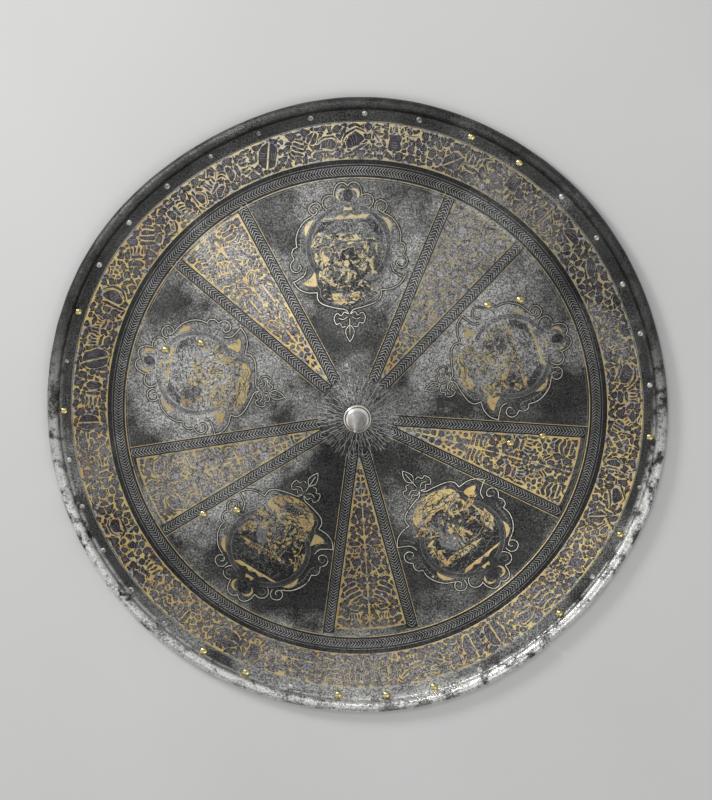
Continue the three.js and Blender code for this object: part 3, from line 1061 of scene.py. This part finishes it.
def gilt_grounds():
    """The sunk ground of band and wedges, a skin of gilding a hair above the steel."""
    ground = Relief()
    rings = [ground.add(circle(r), GROUND) for r in np.linspace(ROPE_OUT, FLANGE_R, 8)]
    ground.faces += quads(rings, RING_STEPS)
    for angle in WEDGES:
        rows = []
        for along in np.linspace(WEDGE_START + 3, PANEL_END, 60):
            half = max(0.3, panel_half_width(along))
            across = np.linspace(half, -half, 9)
            sag = PANEL_END - np.sqrt(PANEL_END ** 2 - across ** 2)
            share = (along - WEDGE_START) / (PANEL_END - WEDGE_START)
            line = np.column_stack([across, along - sag * share])
            rows.append(ground.add(to_wedge(line, angle), GROUND))
        ground.faces += quads(rows, len(across), closed=False)
    ground.build("gilt_grounds", GILT_GROUND)


def wedge_line(angle, inset, side, start, end):
    """A line beside a wedge's edge, `inset` inside it; side is -1 or 1."""
    along = np.linspace(start, end, LINE_STEPS)
    across = side * (wedge_half_width(along) - inset / math.cos(math.radians(WEDGE_HALF_ANGLE)))
    return to_wedge(np.column_stack([across, along]), angle)


def gold_fillets():
    """The gilt lines that edge rope ring and wedges, and plain etched ones beside them."""
    gold = Relief()
    for radius, width in ((ROPE_IN, 1.2), (ROPE_OUT, 1.1)):
        gold.ribbon(circle(radius), width, 0.3, closed=True)
    for angle in WEDGES:
        reach = PANEL_END / math.hypot(1, WEDGE_SLOPE)
        for side in (-1, 1):
            gold.ribbon(wedge_line(angle, 0.0, side, WEDGE_START, ROPE_IN * 0.98), 0.85, 0.32)
            gold.ribbon(wedge_line(angle, WEDGE_ROPE, side, WEDGE_START + 3, reach), 0.9, 0.32)
        spread = math.degrees(math.asin(panel_half_width(reach) / PANEL_END))
        closing = arc(0, 0, PANEL_END, 90 - spread, 90 + spread, 30)
        gold.ribbon(to_wedge(closing, angle), 1.1, 0.32)
    gold.build("gold_fillets", GILT_LINE)
    edge = Relief()
    edge.ribbon(circle(FLANGE_R + 0.6), 0.9, 0.25, closed=True)
    for radius in (ROPE_IN - 2.0, ROPE_IN + 2.6, ROPE_IN + 9.8, ROPE_IN + 12.0):
        edge.ribbon(circle(radius), *FINE_LINE, closed=True)
    edge.build("plain_fillets", ETCHED_LINE)


# ---------------------------------------------------------------- ropes

def strand(pitch, reach):
    """One lay of a two-strand rope: a pair of slanted strokes that meet on its axis."""
    lower = np.array([(-0.55 * pitch, -reach), (0.05 * pitch, -reach * 0.5), (0.5 * pitch, -0.15)])
    return [lower, lower * (1, -1)]


def rope_ring(relief):
    """The rope that runs round between dome and band."""
    middle = ROPE_IN + 6.2
    count = 520
    pitch = 2 * math.pi * middle / count
    for i in range(count):
        for line in strand(pitch, 3.3):
            angle = (line[:, 0] + i * pitch) / middle
            radius = middle + line[:, 1]
            relief.ribbon(np.column_stack([radius * np.cos(angle), radius * np.sin(angle)]),
                          0.8, 0.34)


def wedge_ropes(relief, edge):
    """The ropes along both sides of every wedge, each between two fine lines."""
    cos_edge = math.cos(math.radians(WEDGE_HALF_ANGLE))
    pitch = 2.9
    for angle in WEDGES:
        for side in (-1, 1):
            for inset in (1.9, WEDGE_ROPE - 1.9):
                line = wedge_line(angle, inset, side, WEDGE_START + 2, ROPE_IN - 7)
                edge.ribbon(line, *FINE_LINE)
            along = WEDGE_START + 3
            while along < ROPE_IN - 6:
                centre_x = side * (wedge_half_width(along) - WEDGE_ROPE / 2 / cos_edge)
                for line in strand(pitch, 3.1):
                    turned = line[:, ::-1] * (side, 1)
                    turned = turned @ rotation(-side * WEDGE_HALF_ANGLE).T + (centre_x, along)
                    relief.ribbon(to_wedge(turned, angle), 0.95, 0.34)
                along += pitch * cos_edge


def rope_beds():
    """The blackened ground the ropes lie in, a hair above the plate."""
    bed = Relief()
    rings = [bed.add(circle(r), BED) for r in np.linspace(ROPE_IN, ROPE_OUT, 4)]
    bed.faces += quads(rings, RING_STEPS)
    for angle in WEDGES:
        for side in (-1, 1):
            rows = [bed.add(wedge_line(angle, inset, side, WEDGE_START + 1, ROPE_IN - 3.5), BED)
                    for inset in np.linspace(0, WEDGE_ROPE, 4)]
            made = quads(rows, LINE_STEPS, closed=False, turned=True)
            bed.faces += made if side < 0 else [face[::-1] for face in made]
    bed.build("rope_beds", ROPE_BED)


def ropes():
    """All the ropes on their blackened beds."""
    relief, edge = Relief(), Relief()
    rope_beds()
    rope_ring(relief)
    wedge_ropes(relief, edge)
    relief.build("ropes", ROPE_STEEL)
    edge.build("rope_borders", ETCHED_LINE)


# ---------------------------------------------------------------- cartouches
# Drawn in a sector's own plan: x across, y out from the centre, the pendant pointing inwards.

# How each cartouche sits in its sector: shift across at its foot, lean, shift out, stretch
FITS = [(-2.3, 1.9, 0.6, 0.975), (-1.2, -0.5, 1.4, 0.965), (0.6, -0.2, 0.0, 1.0),
        (0.0, -1.4, 2.4, 1.005), (0.4, -0.2, 0.6, 0.97)]
FOOT = 65.0
STRAP_Y = 151.5                   # the centre that the strap bends round


def to_sector(points, number):
    """From a cartouche's plan to the shield's, with that cartouche's own small lean."""
    across, lean, out, stretch = FITS[number]
    points = np.asarray(points, float)
    rise = (points[:, 1] - FOOT) * stretch
    x = points[:, 0] + across + rise * math.tan(math.radians(lean))
    return to_wedge(np.column_stack([x, FOOT + out + rise]), SECTORS[number])


def in_sector(number, ease=0.2):
    """Two ways to lay relief in a cartouche's own plan: as filled shapes and as lines."""
    def lay(relief, shape, height=0.3):
        relief.slab(to_sector(shape, number), height, ease)

    def line(relief, points, width, height=0.34, closed=False):
        relief.ribbon(to_sector(points, number), width, height, closed)

    return lay, line


def frame_outline():
    """The right half of the cartouche's outer line, from the notch of its crest to its foot."""
    crest = [(0, 206.6), (3.5, 209.4), (8.5, 208.8), (11.8, 204.5), (12.8, 199.5), (12.9, 197.4)]
    ear = [(12.9, 197.4), (17.8, 198.2), (22.0, 195.8), (23.4, 191.4), (21.4, 187.0),
           (18.6, 185.0)]
    curl = [(24.2, 184.4), (25.2, 189.6), (29.5, 192.2), (34.6, 189.6), (35.4, 184.8),
            (32.2, 181.4), (28.8, 182.6), (28.2, 185.6), (30.4, 187.2)]
    side = [(31.5, 180.6), (39.7, 175.6), (45.4, 167.7), (47.7, 159.7), (47.0, 152.5)]
    bump = [(47.0, 152.5), (50.6, 150.6), (51.6, 146.0), (49.6, 141.8)]
    lobe = [(49.6, 141.8), (52.8, 137.5), (52.6, 132.8), (49.6, 130.0), (45.5, 130.2),
            (43.2, 133.6), (45.0, 136.4)]
    wing = [(38.6, 133.5), (40.2, 127.5), (45.4, 123.4), (50.6, 120.6)]
    under = [(50.6, 120.6), (45.4, 114.3), (37.5, 110.9), (29.0, 110.6)]
    bulge = [(29.0, 110.6), (28.6, 104.5), (23.5, 99.6), (12.0, 96.0), (4.0, 94.2), (0.8, 90.6)]
    return [smooth_line(points, 4)
            for points in (crest, ear, curl, side, bump, lobe, wing, under, bulge)]


def inner_frame():
    """Lines inside the outer one: the edge of the strap's bed and the hollow of each scroll."""
    return [
        smooth_line([(27.0, 178.6), (35.5, 173.0), (41.2, 166.0), (43.6, 158.0), (43.4, 149.0),
                     (45.2, 144.0)], 4),
        smooth_line([(36.0, 127.5), (38.4, 121.5), (43.0, 118.4)], 4),
        smooth_line([(36.0, 127.5), (31.0, 119.0), (26.0, 113.4)], 4),
        smooth_line([(26.0, 112.6), (25.4, 106.6), (20.6, 102.4), (10.0, 99.4), (1.6, 96.2)], 4),
        arc(17.6, 191.4, 3.0, 150, -120, 9),
        arc(48.6, 146.4, 1.6, 150, -90, 6),
        arc(47.8, 135.0, 2.4, 200, -60, 8),
    ]


def pendant():
    """The palmette that hangs from the frame towards the spike."""
    side = [
        smooth_line([(1.2, 90.4), (5.0, 92.0), (7.6, 88.8), (11.4, 91.2), (14.2, 86.8),
                     (12.4, 81.4), (8.8, 82.2), (7.0, 78.6), (3.8, 79.0)], 4),
        smooth_line([(2.2, 87.6), (5.8, 85.4), (9.6, 86.6)], 4),
        smooth_line([(0.6, 80.0), (3.8, 75.4), (2.8, 69.8), (0.0, 65.0)], 4),
    ]
    return side + mirrored(side) + [np.array([(0, 86.0), (0, 77), (0, 69.0)])]


def picture_half_width(y):
    """Half the width of the picture inside the strap, at a height of the cartouche."""
    if y > 133:
        return math.sqrt(max(0.0, 33.4 ** 2 - (y - 150) ** 2))
    return float(np.interp(y, (96, 104, 133), (6, 23, 28.7)))


def figure():
    """A generic striding figure five units tall in short broad strokes, its feet at y 0."""
    return [
        ellipse(0.1, 4.55, 0.34, 0.42, 10),
        rounded([(-0.5, 4.0), (0.6, 4.0), (0.5, 2.5), (-0.35, 2.5)]),
        rounded([(0.65, 3.95), (1.7, 3.3), (2.1, 3.9), (1.9, 4.0), (1.6, 3.6), (0.7, 4.2)]),
        rounded([(-0.6, 3.95), (-1.4, 3.0), (-1.0, 2.2), (-0.85, 2.35), (-1.1, 3.0), (-0.5, 3.6)]),
        rounded([(-0.5, 2.4), (0.1, 2.4), (-0.25, 1.3), (-1.0, 0.1), (-1.4, 0.0), (-0.7, 1.3)]),
        rounded([(0.2, 2.4), (0.6, 2.4), (0.9, 1.2), (1.0, 0.1), (0.6, 0.0), (0.45, 1.2)]),
        rounded([(-0.7, 2.55), (0.7, 2.55), (1.1, 1.8), (0.2, 1.6), (-0.9, 1.9)]),
    ]


def blot(rng, x, y, rx, ry, turn):
    """A rough-edged oval, as gilding leaves one where it wears away."""
    sides = int(14 + max(rx, ry))
    outline = ellipse(0, 0, rx, ry, sides)
    reach = np.array([rng.uniform(0.68, 1.14) for _ in range(sides)])
    return (outline * reach[:, None]) @ rotation(turn).T + (x, y)


# The broad areas of the five scenes: kind, centre, half width, half height, turn
SCENES = [
    [("dark", 0, 140, 11, 12, 10), ("gold", -6, 160, 15, 3, -6), ("gold", -28, 158, 3.5, 8, -30),
     ("gold", 15, 143, 3, 10, -5), ("gold", 18, 156, 6, 2, 10), ("curl", -20, 146, 6, 6, 40),
     ("gold", -22, 128, 5, 4, 30), ("pale", 22, 124, 9, 5, 10), ("figure", -4, 121, 4.6, 0, -6),
     ("ground", -3, 104, 13, 6, 0)],
    [("dark", -19, 151, 9, 9, 0), ("pale", 17, 152, 10, 9, -20), ("curl", -30, 152, 4, 9, 0),
     ("gold", -7, 149, 3.6, 9, 15), ("gold", 5, 151, 5, 5, -25), ("gold", 6, 134, 3.6, 7, -10),
     ("loop", -12, 126, 8, 6, 0), ("gold", -12, 121, 6, 2.6, 0), ("figure", -22, 116, 3.6, 0, 0),
     ("figure", 19, 119, 3.8, 0, -8), ("ground", -2, 105, 23, 6, 0)],
    [("gold", 2, 156, 21, 2.6, 0), ("gold", -31, 148, 2.6, 10, 0), ("dark", -20, 145, 8, 13, 0),
     ("pale", 11, 143, 6, 13, 35), ("gold", -1, 147, 3.6, 15, 42), ("gold", 26, 143, 3.4, 7, -30),
     ("figure", 3, 125, 4.6, 0, 8), ("loop", 2, 120, 6, 3.4, 0), ("gold", -20, 124, 5, 6, 30),
     ("gold", 21, 123, 6, 3, 20), ("ground", 0, 107, 24, 11, 0)],
    [("gold", 9, 162, 19, 3, -3), ("gold", -29, 151, 4.6, 11, -8), ("dark", -12, 149, 11.5, 10, 0),
     ("pale", 11, 145, 9, 12, 0), ("gold", -1, 143, 3, 8, 20), ("gold", 26, 149, 3, 11, -4),
     ("loop", -15, 124, 8.5, 5.4, 10), ("gold", -29, 127, 7, 3, 20), ("gold", 22, 124, 9, 3, -8),
     ("figure", 9, 120, 4.8, 0, -8), ("ground", 0, 108, 25, 10, 0)],
    [("gold", 1, 156, 31, 2.4, 0), ("gold", -28, 145, 3, 8, 0), ("dark", -14, 140, 12, 11, 0),
     ("gold", 4, 148, 2.6, 5, 30), ("gold", 29, 148, 3.6, 4, 0), ("gold", 21, 129, 3.4, 15, 30),
     ("figure", -3, 118, 4.4, 0, 16), ("curl", 10, 138, 7, 6, 0), ("pale", 8, 116, 12, 6, 0),
     ("gold", -20, 118, 5, 4, 0), ("ground", -2, 104, 17, 5, 0)],
]


# The gold strip above the sky
CLOUD_STRIP = [(-24, 176.2), (16, 176.2), (20, 179.5), (12, 180.2), (8, 178.4), (3, 181.0),
               (-2, 178.4), (-7, 180.6), (-12, 178.0), (-20, 178.2)]


def scene(number, gold, dark, clean, etched):
    """A generic scene, its gilding rubbed: gold strip, dark sky, masses, a figure and gold ground.
    """
    rng = random.Random(300 + number)
    lay, line = in_sector(number, 0.15)
    lay(gold, CLOUD_STRIP)
    sky = [(picture_half_width(y), y) for y in (160, 166, 172, 175)]
    lay(dark, sky + [(-x, y) for x, y in reversed(sky)])
    for kind, x, y, rx, ry, turn in SCENES[number]:
        if kind == "gold":
            lay(gold, blot(rng, x, y, rx * 1.15, ry * 1.1, turn))
            for _ in range(int(2.2 * max(rx, ry))):
                t, u = rng.uniform(-0.7, 0.7), rng.uniform(-0.6, 0.6)
                at = np.array([t * rx, u * ry]) @ rotation(turn).T + (x, y)
                fold = arc(0, 0, rng.uniform(1.2, 2.6), 20, 150, 4) @ rotation(
                    rng.uniform(0, 360)).T
                line(dark, fold + at - fold.mean(0), rng.uniform(0.7, 1.2), 0.42)
        elif kind == "dark":
            outline = rounded(blot(rng, x, y, rx, ry, turn))
            lay(dark, outline)
            line(gold, outline[:int(len(outline) * 0.7)], 1.1)
        elif kind == "pale":
            lay(clean, rounded(blot(rng, x, y, rx, ry, turn)), 0.24)
        elif kind == "curl":
            line(gold, arc(x, y, rx, 200 + turn, -40 + turn, 12), 1.3)
            line(gold, arc(x + 1, y - 1, rx * 0.5, 180 + turn, -100 + turn, 9), 1.1)
        elif kind == "loop":
            line(gold, rounded(ellipse(x, y, rx, ry, 12, turn)), 1.8, 0.34, True)
            lay(dark, ellipse(x, y, rx * 0.6, ry * 0.5, 12, turn))
        elif kind == "figure":
            for part in moved(figure(), x, y, turn, rx):
                lay(clean if number in (2, 3) else gold, part, 0.4)
                line(dark, part, 0.5, 0.44, True)
        elif kind == "ground":
            top = [(x + rx * t, y + ry + rng.uniform(-2.2, 1.2)) for t in np.linspace(-1, 1, 9)]
            foot = [(x + rx * t, y + ry * (1.1 * abs(t) ** 2.2 - 1))
                    for t in np.linspace(0.95, -0.95, 9)]
            lay(gold, rounded(top + foot), 0.26)
            for k in range(int(ry / 0.85)):
                row = y + ry - 1.65 * k - 2
                half = min(rx, picture_half_width(row)) * rng.uniform(0.25, 0.6)
                off = rng.uniform(-0.4, 0.4) * rx
                wave = [(off + half * t, row + rng.uniform(-1.5, 1.5))
                        for t in np.linspace(-1, 1, 7)]
                line(dark, smooth_line(wave, 4), rng.uniform(0.7, 1.5), 0.4)
    for _ in range(30):
        y = rng.uniform(100, 128)
        x = rng.uniform(-0.9, 0.9) * picture_half_width(y)
        lay(gold, leaf(x, y, rng.uniform(2, 6), rng.uniform(1.0, 2.0),
                       rng.choice((60, 80, 100, 120))))
    for _ in range(90):
        y = rng.gauss(136, 13)
        x = rng.uniform(-0.95, 0.95) * picture_half_width(y)
        turn = rng.choice((20, 60, 90, 130, 160)) + rng.gauss(0, 12)
        if 112 < y < 162:
            lay(gold, blot(rng, x, y, rng.uniform(1.2, 4.6), rng.uniform(0.6, 1.7), turn))
    hatch(rng, number, etched, 420)
    hatch(rng, number, dark, 260)


def hatch(rng, number, relief, count):
    """Fine graver's strokes that model the scene: short lines in a few directions."""
    for _ in range(count):
        y = rng.uniform(100, 175)
        x = rng.uniform(-0.97, 0.97) * picture_half_width(y)
        turn = rng.choice((8, 25, 70, 110, 155)) + rng.gauss(0, 9)
        reach, bow = rng.uniform(0.9, 2.8), rng.uniform(-0.5, 0.5)
        ends = np.array([(-reach, 0), (0, bow), (reach, 0)]) @ rotation(turn).T
        relief.ribbon(to_sector(ends + (x, y), number), 0.6, 0.45)


def strap_and_crest(number, gold, dark, strap, etched):
    """The dark strap round the picture, the medal in the crest, and their gold crescents."""
    lay, line = in_sector(number)
    for side in (-1, 1):
        bend = arc(0, STRAP_Y, 38.6, -46, 72, 20) * (side, 1)
        inner = arc(0, STRAP_Y, 34.4, 72, -46, 20) * (side, 1)
        lay(strap, np.vstack([bend, inner]), 0.28)
        for edge in (bend, inner):
            line(etched, edge, 0.6)
        lay(gold, crescent(0, STRAP_Y, 39.6, -4.4, 90 - side * 50, 90 - side * 75, 10))
        lay(gold, crescent(side * 3.2, 197.4, 5.4, -2.8, 90 + side * 12, 90 - side * 138, 10))
        for k in range(12):
            turn = math.radians(90 - side * (40 + 5.0 * k))
            way = np.array([math.cos(turn), math.sin(turn)])
            stroke = np.array([(0, 151.0) + way * reach for reach in (41.0, 42.6, 44.2)])
            line(etched, stroke + (side * 1.6, 0), 0.6, 0.3)
    dark.slab(to_sector(ellipse(0, 197.5, 4.4, 5.6, 14), number), 0.3, 0.3)
    lay(gold, [(-4.4, 184.2), (4.4, 184.2), (3.2, 188.0), (0, 186.4), (-3.2, 188.0)])


# Wings whose gilding has gone: cartouche and side
BARE_WINGS = {(0, 1), (2, 1), (3, 1)}
WING = [(30.6, 131.0), (34.4, 124.5), (42.0, 119.6), (38.0, 116.4), (28.0, 116.0), (29.6, 122.4)]


def cartouches():
    """Five framed scenes, one in each sector, gathered into one mesh for each finish."""
    gold, dark, clean, strap, etched, outline, channel = (Relief() for _ in range(7))
    for number in range(len(SECTORS)):
        lay, line = in_sector(number)
        halves, lines = frame_outline(), inner_frame()
        for points in halves + mirrored(halves):
            line(channel, points, 3.8, 0.1)
            line(outline, points, 1.0, 0.32)
        for points in pendant():
            line(channel, points, 3.4, 0.1)
            line(outline, points, 0.85, 0.32)
        for points in lines + mirrored(lines):
            line(etched, points, 0.7, 0.28)
        strap_and_crest(number, gold, dark, strap, etched)
        for side in (-1, 1):
            if (number, side) not in BARE_WINGS:
                lay(gold, rounded([(side * x, y) for x, y in WING]))
        scene(number, gold, dark, clean, etched)
    gold.build("cartouche_gilding", GILT_PATCH)
    dark.build("cartouche_shadows", DARK_RELIEF)
    strap.build("cartouche_straps", STRAP_STEEL)
    clean.build("cartouche_figures", CLEAN_STEEL)
    etched.build("cartouche_hatching", ETCHED_LINE)
    outline.build("cartouche_outlines", PALE_GILT)
    channel.build("cartouche_channels", ROPE_BED)


ROSETTE = (-10.0, 46.5)
BURST_RINGS = ((13.2, 8.0, 56), (20, 9, 60), (28, 9, 62))   # start, reach, number of leaves


def burst():
    """Curling leaf strokes that radiate from under the spike over a dark bed, and a small
    rosette beside them."""
    rng = random.Random(77)
    etched, bed = Relief(), Relief()
    rim = [(0, 38 + rng.uniform(-5, 3)) for _ in range(90)]
    rim = np.array([np.array(point) @ rotation(-4 * i).T for i, point in enumerate(rim)])
    hub = np.array([np.array((0, 12.0)) @ rotation(-4 * i).T for i in range(90)])
    outer, inner = bed.add(rim, BED), bed.add(hub, BED)
    bed.faces += quads([inner, outer], 90, turned=True)
    for ring, (start, reach, count) in enumerate(BURST_RINGS):
        for i in range(count):
            turn = 360 * (i + 0.5 * (ring % 2)) / count + rng.uniform(-2, 2)
            length = reach * rng.uniform(0.7, 1.2)
            curl = rng.choice((-1, 1)) * rng.uniform(0.5, 1.4)
            line = [(0, start), (curl, start + length * 0.5), (curl * 0.4, start + length)]
            etched.ribbon(np.array(line) @ rotation(turn).T, 0.85, 0.3)
            if ring and i % 2:
                leaflet = arc(curl * 1.4, start + length * 0.7, 1.3, 200, -40, 5)
                etched.ribbon(leaflet @ rotation(turn).T, 0.6, 0.3)
    for i in range(8):
        etched.slab(leaf(0, 1.3, 2.0, 1.4, 45 * i, 3) + ROSETTE, 0.3, 0.1)
    etched.ribbon(ellipse(*ROSETTE, 3.9, 3.9, 16), 0.6, 0.3, closed=True)
    etched.build("spike_burst", ROPE_STEEL)
    bed.build("spike_burst_bed", ROPE_BED)


CRACK_ANGLE = 128.6


def scars():
    """A crack across the band, and three scuffs down to clean steel."""
    rng = random.Random(9)
    crack, scuff = Relief(), Relief()
    angle = math.radians(CRACK_ANGLE)
    points = [(r * math.cos(angle + a), r * math.sin(angle + a))
              for r, a in ((226, 0.0), (234, -0.006), (243, 0.002), (252, -0.008), (261, -0.002))]
    crack.ribbon(smooth_line(points, 4), 1.3, 0.42)
    for x, y in ((31.8, -154), (22.6, -170.5), (69.6, -154)):
        scuff.slab(blot(rng, x, y, 1.5, 1.1, 20), 0.4, 0.2)
    crack.build("band_crack", DARK_RELIEF)
    scuff.build("scuffs", BARE_SPOT)


# ---------------------------------------------------------------- spike, rivets, straps

def lathe(name, profile, material, sides=40):
    """A turned solid about Z from a radius and height profile that starts and ends on the axis."""
    vertices = []
    for radius, z in profile:
        for i in range(sides):
            a = 2 * math.pi * i / sides
            vertices.append((radius * math.cos(a) * MM, radius * math.sin(a) * MM, z * MM))
    faces = quads(range(0, len(vertices), sides), sides, turned=True)
    return new_object(name, vertices, faces, material)


CROWN_Z = APEX_Z - (APEX_Z - BAND_Z) * CROWN_R / BAND_R
SPIKE_LENGTH = SPIKE_BOX[1].z / MM - CROWN_Z
SPIKE_LEAN = 2.2
BULB_TOP, TAPER_FOOT = 14.0, 19.4


def spike():
    """The turned spike, which leans a little, and the gilt ring in its groove."""
    foot = [(0, 0.3), (11.9, 0.3), (12.5, 0.9), (12.7, 1.8), (12.6, 2.8), (12.2, 3.6), (11.6, 4.1)]
    groove = [(11.3, 4.2), (11.0, 4.0), (10.6, 4.3)]
    neck = [(10.2, 4.8), (9.2, 5.3), (8.0, 6.1), (7.5, 7.0), (7.6, 7.9)]
    bulb = [(8.0, 9.0), (8.5, 11.0), (8.7, 13.0), (8.6, 15.0), (8.1, 17.0), (7.3, TAPER_FOOT)]
    taper = []
    for t in np.linspace(0.08, 1, 16):
        height = TAPER_FOOT + (SPIKE_LENGTH - 0.5 - TAPER_FOOT) * t
        taper.append((0.8 + 6.2 * (1 - t) ** 1.15, height))
    profile = foot + groove + neck + bulb + taper + [(0, SPIKE_LENGTH)]
    body = lathe("spike_turned", profile, BRIGHT_STEEL, 48)
    for vertex in body.data.vertices:
        height = vertex.co.z / MM
        lean = SPIKE_LEAN * max(0.0, height - BULB_TOP) / (SPIKE_LENGTH - BULB_TOP)
        vertex.co.x += CENTRE.x - lean * MM
        vertex.co.y += CENTRE.y
        vertex.co.z += CROWN_Z * MM
    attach(body, "root")
    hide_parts("spike")
    ring = lathe("spike_gilt_ring", [(10.4, 4.3), (11.2, 4.25), (11.5, 4.5), (11.2, 4.9),
                                     (10.6, 4.9), (10.4, 4.3)], DULL_GILT, 48)
    for vertex in ring.data.vertices:
        vertex.co += Vector((CENTRE.x, CENTRE.y, CROWN_Z * MM))
    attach(ring, "root")


def rivet_profile(head, rise, grip):
    """Domed head, shank and hammered tail, the underside of the head at height 0."""
    dome = [(head * math.cos(a), rise * math.sin(a)) for a in np.linspace(math.pi / 2, 0, 7)]
    return ([(0, rise)] + dome[1:] + [(head, -0.25), (1.6, -0.25), (1.6, -grip),
                                      (2.3, -grip), (1.9, -grip - 0.8), (0, -grip - 1.1)])[::-1]


BRASS_HEAD = (3.7, 2.2)           # radius and rise of a domed head
RIM_GRIP, STRAP_GRIP = 2.4, 6.5   # how much sheet, or sheet and leather, a rivet holds


def rivets():
    """Turns each rivet about its own axis and seats it where the CAD has it."""
    rng = random.Random(5)
    steel_nodes = [part["node"] for part in frame["record"]["subparts"]
                   if part["material_slot"] == "rivet_steel"]
    for node in frame["nodes"]:
        if "rivet" not in node:
            continue
        low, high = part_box(node)
        middle = (low + high) / 2
        steel = node in steel_nodes
        head, rise = BRASS_HEAD
        if steel:
            head, rise = rng.uniform(2.4, 2.8), rng.uniform(0.5, 0.9)
        if "strap" in node:
            away = (middle - CENTRE).to_2d().normalized() * (APEX_Z - BAND_Z) / BAND_R
            normal = Vector((*away, 1)).normalized()
            travel = (high.z - low.z) / 2 - (rise + 0.35) * MM * 0.5
            grip, seat = STRAP_GRIP, middle + normal * (travel - 0.4 * MM)
        else:
            normal = Vector((0, 0, 1))
            grip, seat = RIM_GRIP, Vector((middle.x, middle.y, high.z - (rise + 0.32) * MM))
        made = lathe(node.replace("rivet", "head"), rivet_profile(head, rise, grip),
                     WORN_RIVET if steel else BRASS, 20)
        turn = Vector((0, 0, 1)).rotation_difference(normal).to_matrix()
        for vertex in made.data.vertices:
            vertex.co = turn @ vertex.co + seat
        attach(made, "root")
        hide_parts(node)


def straps():
    """The straps keep the CAD's shape and are only given their leather."""
    for node in ("arm_strap", "hand_strap"):
        frame["nodes"][node].data.materials.clear()
        frame["nodes"][node].data.materials.append(LEATHER)


# ---------------------------------------------------------------- studio

def studio():
    """A pale floor, three soft lamps and the room round them."""
    floor = new_object("floor", [(-6, -6, 0), (6, -6, 0), (6, 6, 0), (-6, 6, 0)], [(0, 1, 2, 3)],
                       floor_finish())
    room()
    for name, place, size, power in LAMPS:
        lamp = bpy.data.lights.new(name, "AREA")
        lamp.size = size
        lamp.energy = power
        light = bpy.data.objects.new(name, lamp)
        light.location = place
        light.rotation_euler = (-Vector(place)).to_track_quat("-Z", "Y").to_euler()
        bpy.context.scene.collection.objects.link(light)


def room():
    """A dim studio with a long pale screen on either side of the shield."""
    world = bpy.data.worlds.new("studio")
    bpy.context.scene.world = world
    world.use_nodes = True
    tree = world.node_tree
    way = tree.nodes.new("ShaderNodeTexCoord").outputs["Generated"]
    split = tree.nodes.new("ShaderNodeSeparateXYZ")
    along, across = (tree.nodes.new("ShaderNodeMapRange") for _ in range(2))
    for place in (along, across):
        place.inputs["From Min"].default_value = -1
    across.inputs["To Min"].default_value = ROOM_LEFT
    across.inputs["To Max"].default_value = ROOM_RIGHT
    ramp = tree.nodes.new("ShaderNodeValToRGB")
    stops = ramp.color_ramp.elements
    while len(stops) < len(ROOM_LIGHT):
        stops.new(0.5)
    for stop, (y, light) in zip(stops, ROOM_LIGHT):
        stop.position = (y + 1) / 2
        stop.color = (*[light / ROOM_SCALE] * 3, 1)
    back = tree.nodes["Background"]
    for source, target in ((way, split.inputs[0]),
                           (split.outputs["Y"], along.inputs["Value"]),
                           (split.outputs["X"], across.inputs["Value"]),
                           (along.outputs["Result"], ramp.inputs["Fac"]),
                           (ramp.outputs["Color"], back.inputs["Color"]),
                           (across.outputs["Result"], back.inputs["Strength"])):
        tree.links.new(source, target)


def camera():
    """Looks down on the lying shield's face from slightly towards its top, which stands upwards
    in the picture."""
    tilt = math.radians(TILT)
    lens = bpy.data.cameras.new("camera")
    lens.lens = LENS
    lens.sensor_width = SENSOR
    lens.clip_end = 50
    view = bpy.data.objects.new("camera", lens)
    view.location = Vector(AIM) * MM + Vector((0, math.sin(tilt), math.cos(tilt))) * DISTANCE
    view.rotation_euler = (-tilt, 0, 0)
    bpy.context.scene.collection.objects.link(view)
    bpy.context.scene.camera = view


shield_plate()
gilt_grounds()
band_ornament()
wedge_ornament()
gold_fillets()
ropes()
cartouches()
burst()
scars()
spike()
rivets()
straps()
studio()
camera()
bpy.context.scene.view_settings.view_transform = "Standard"
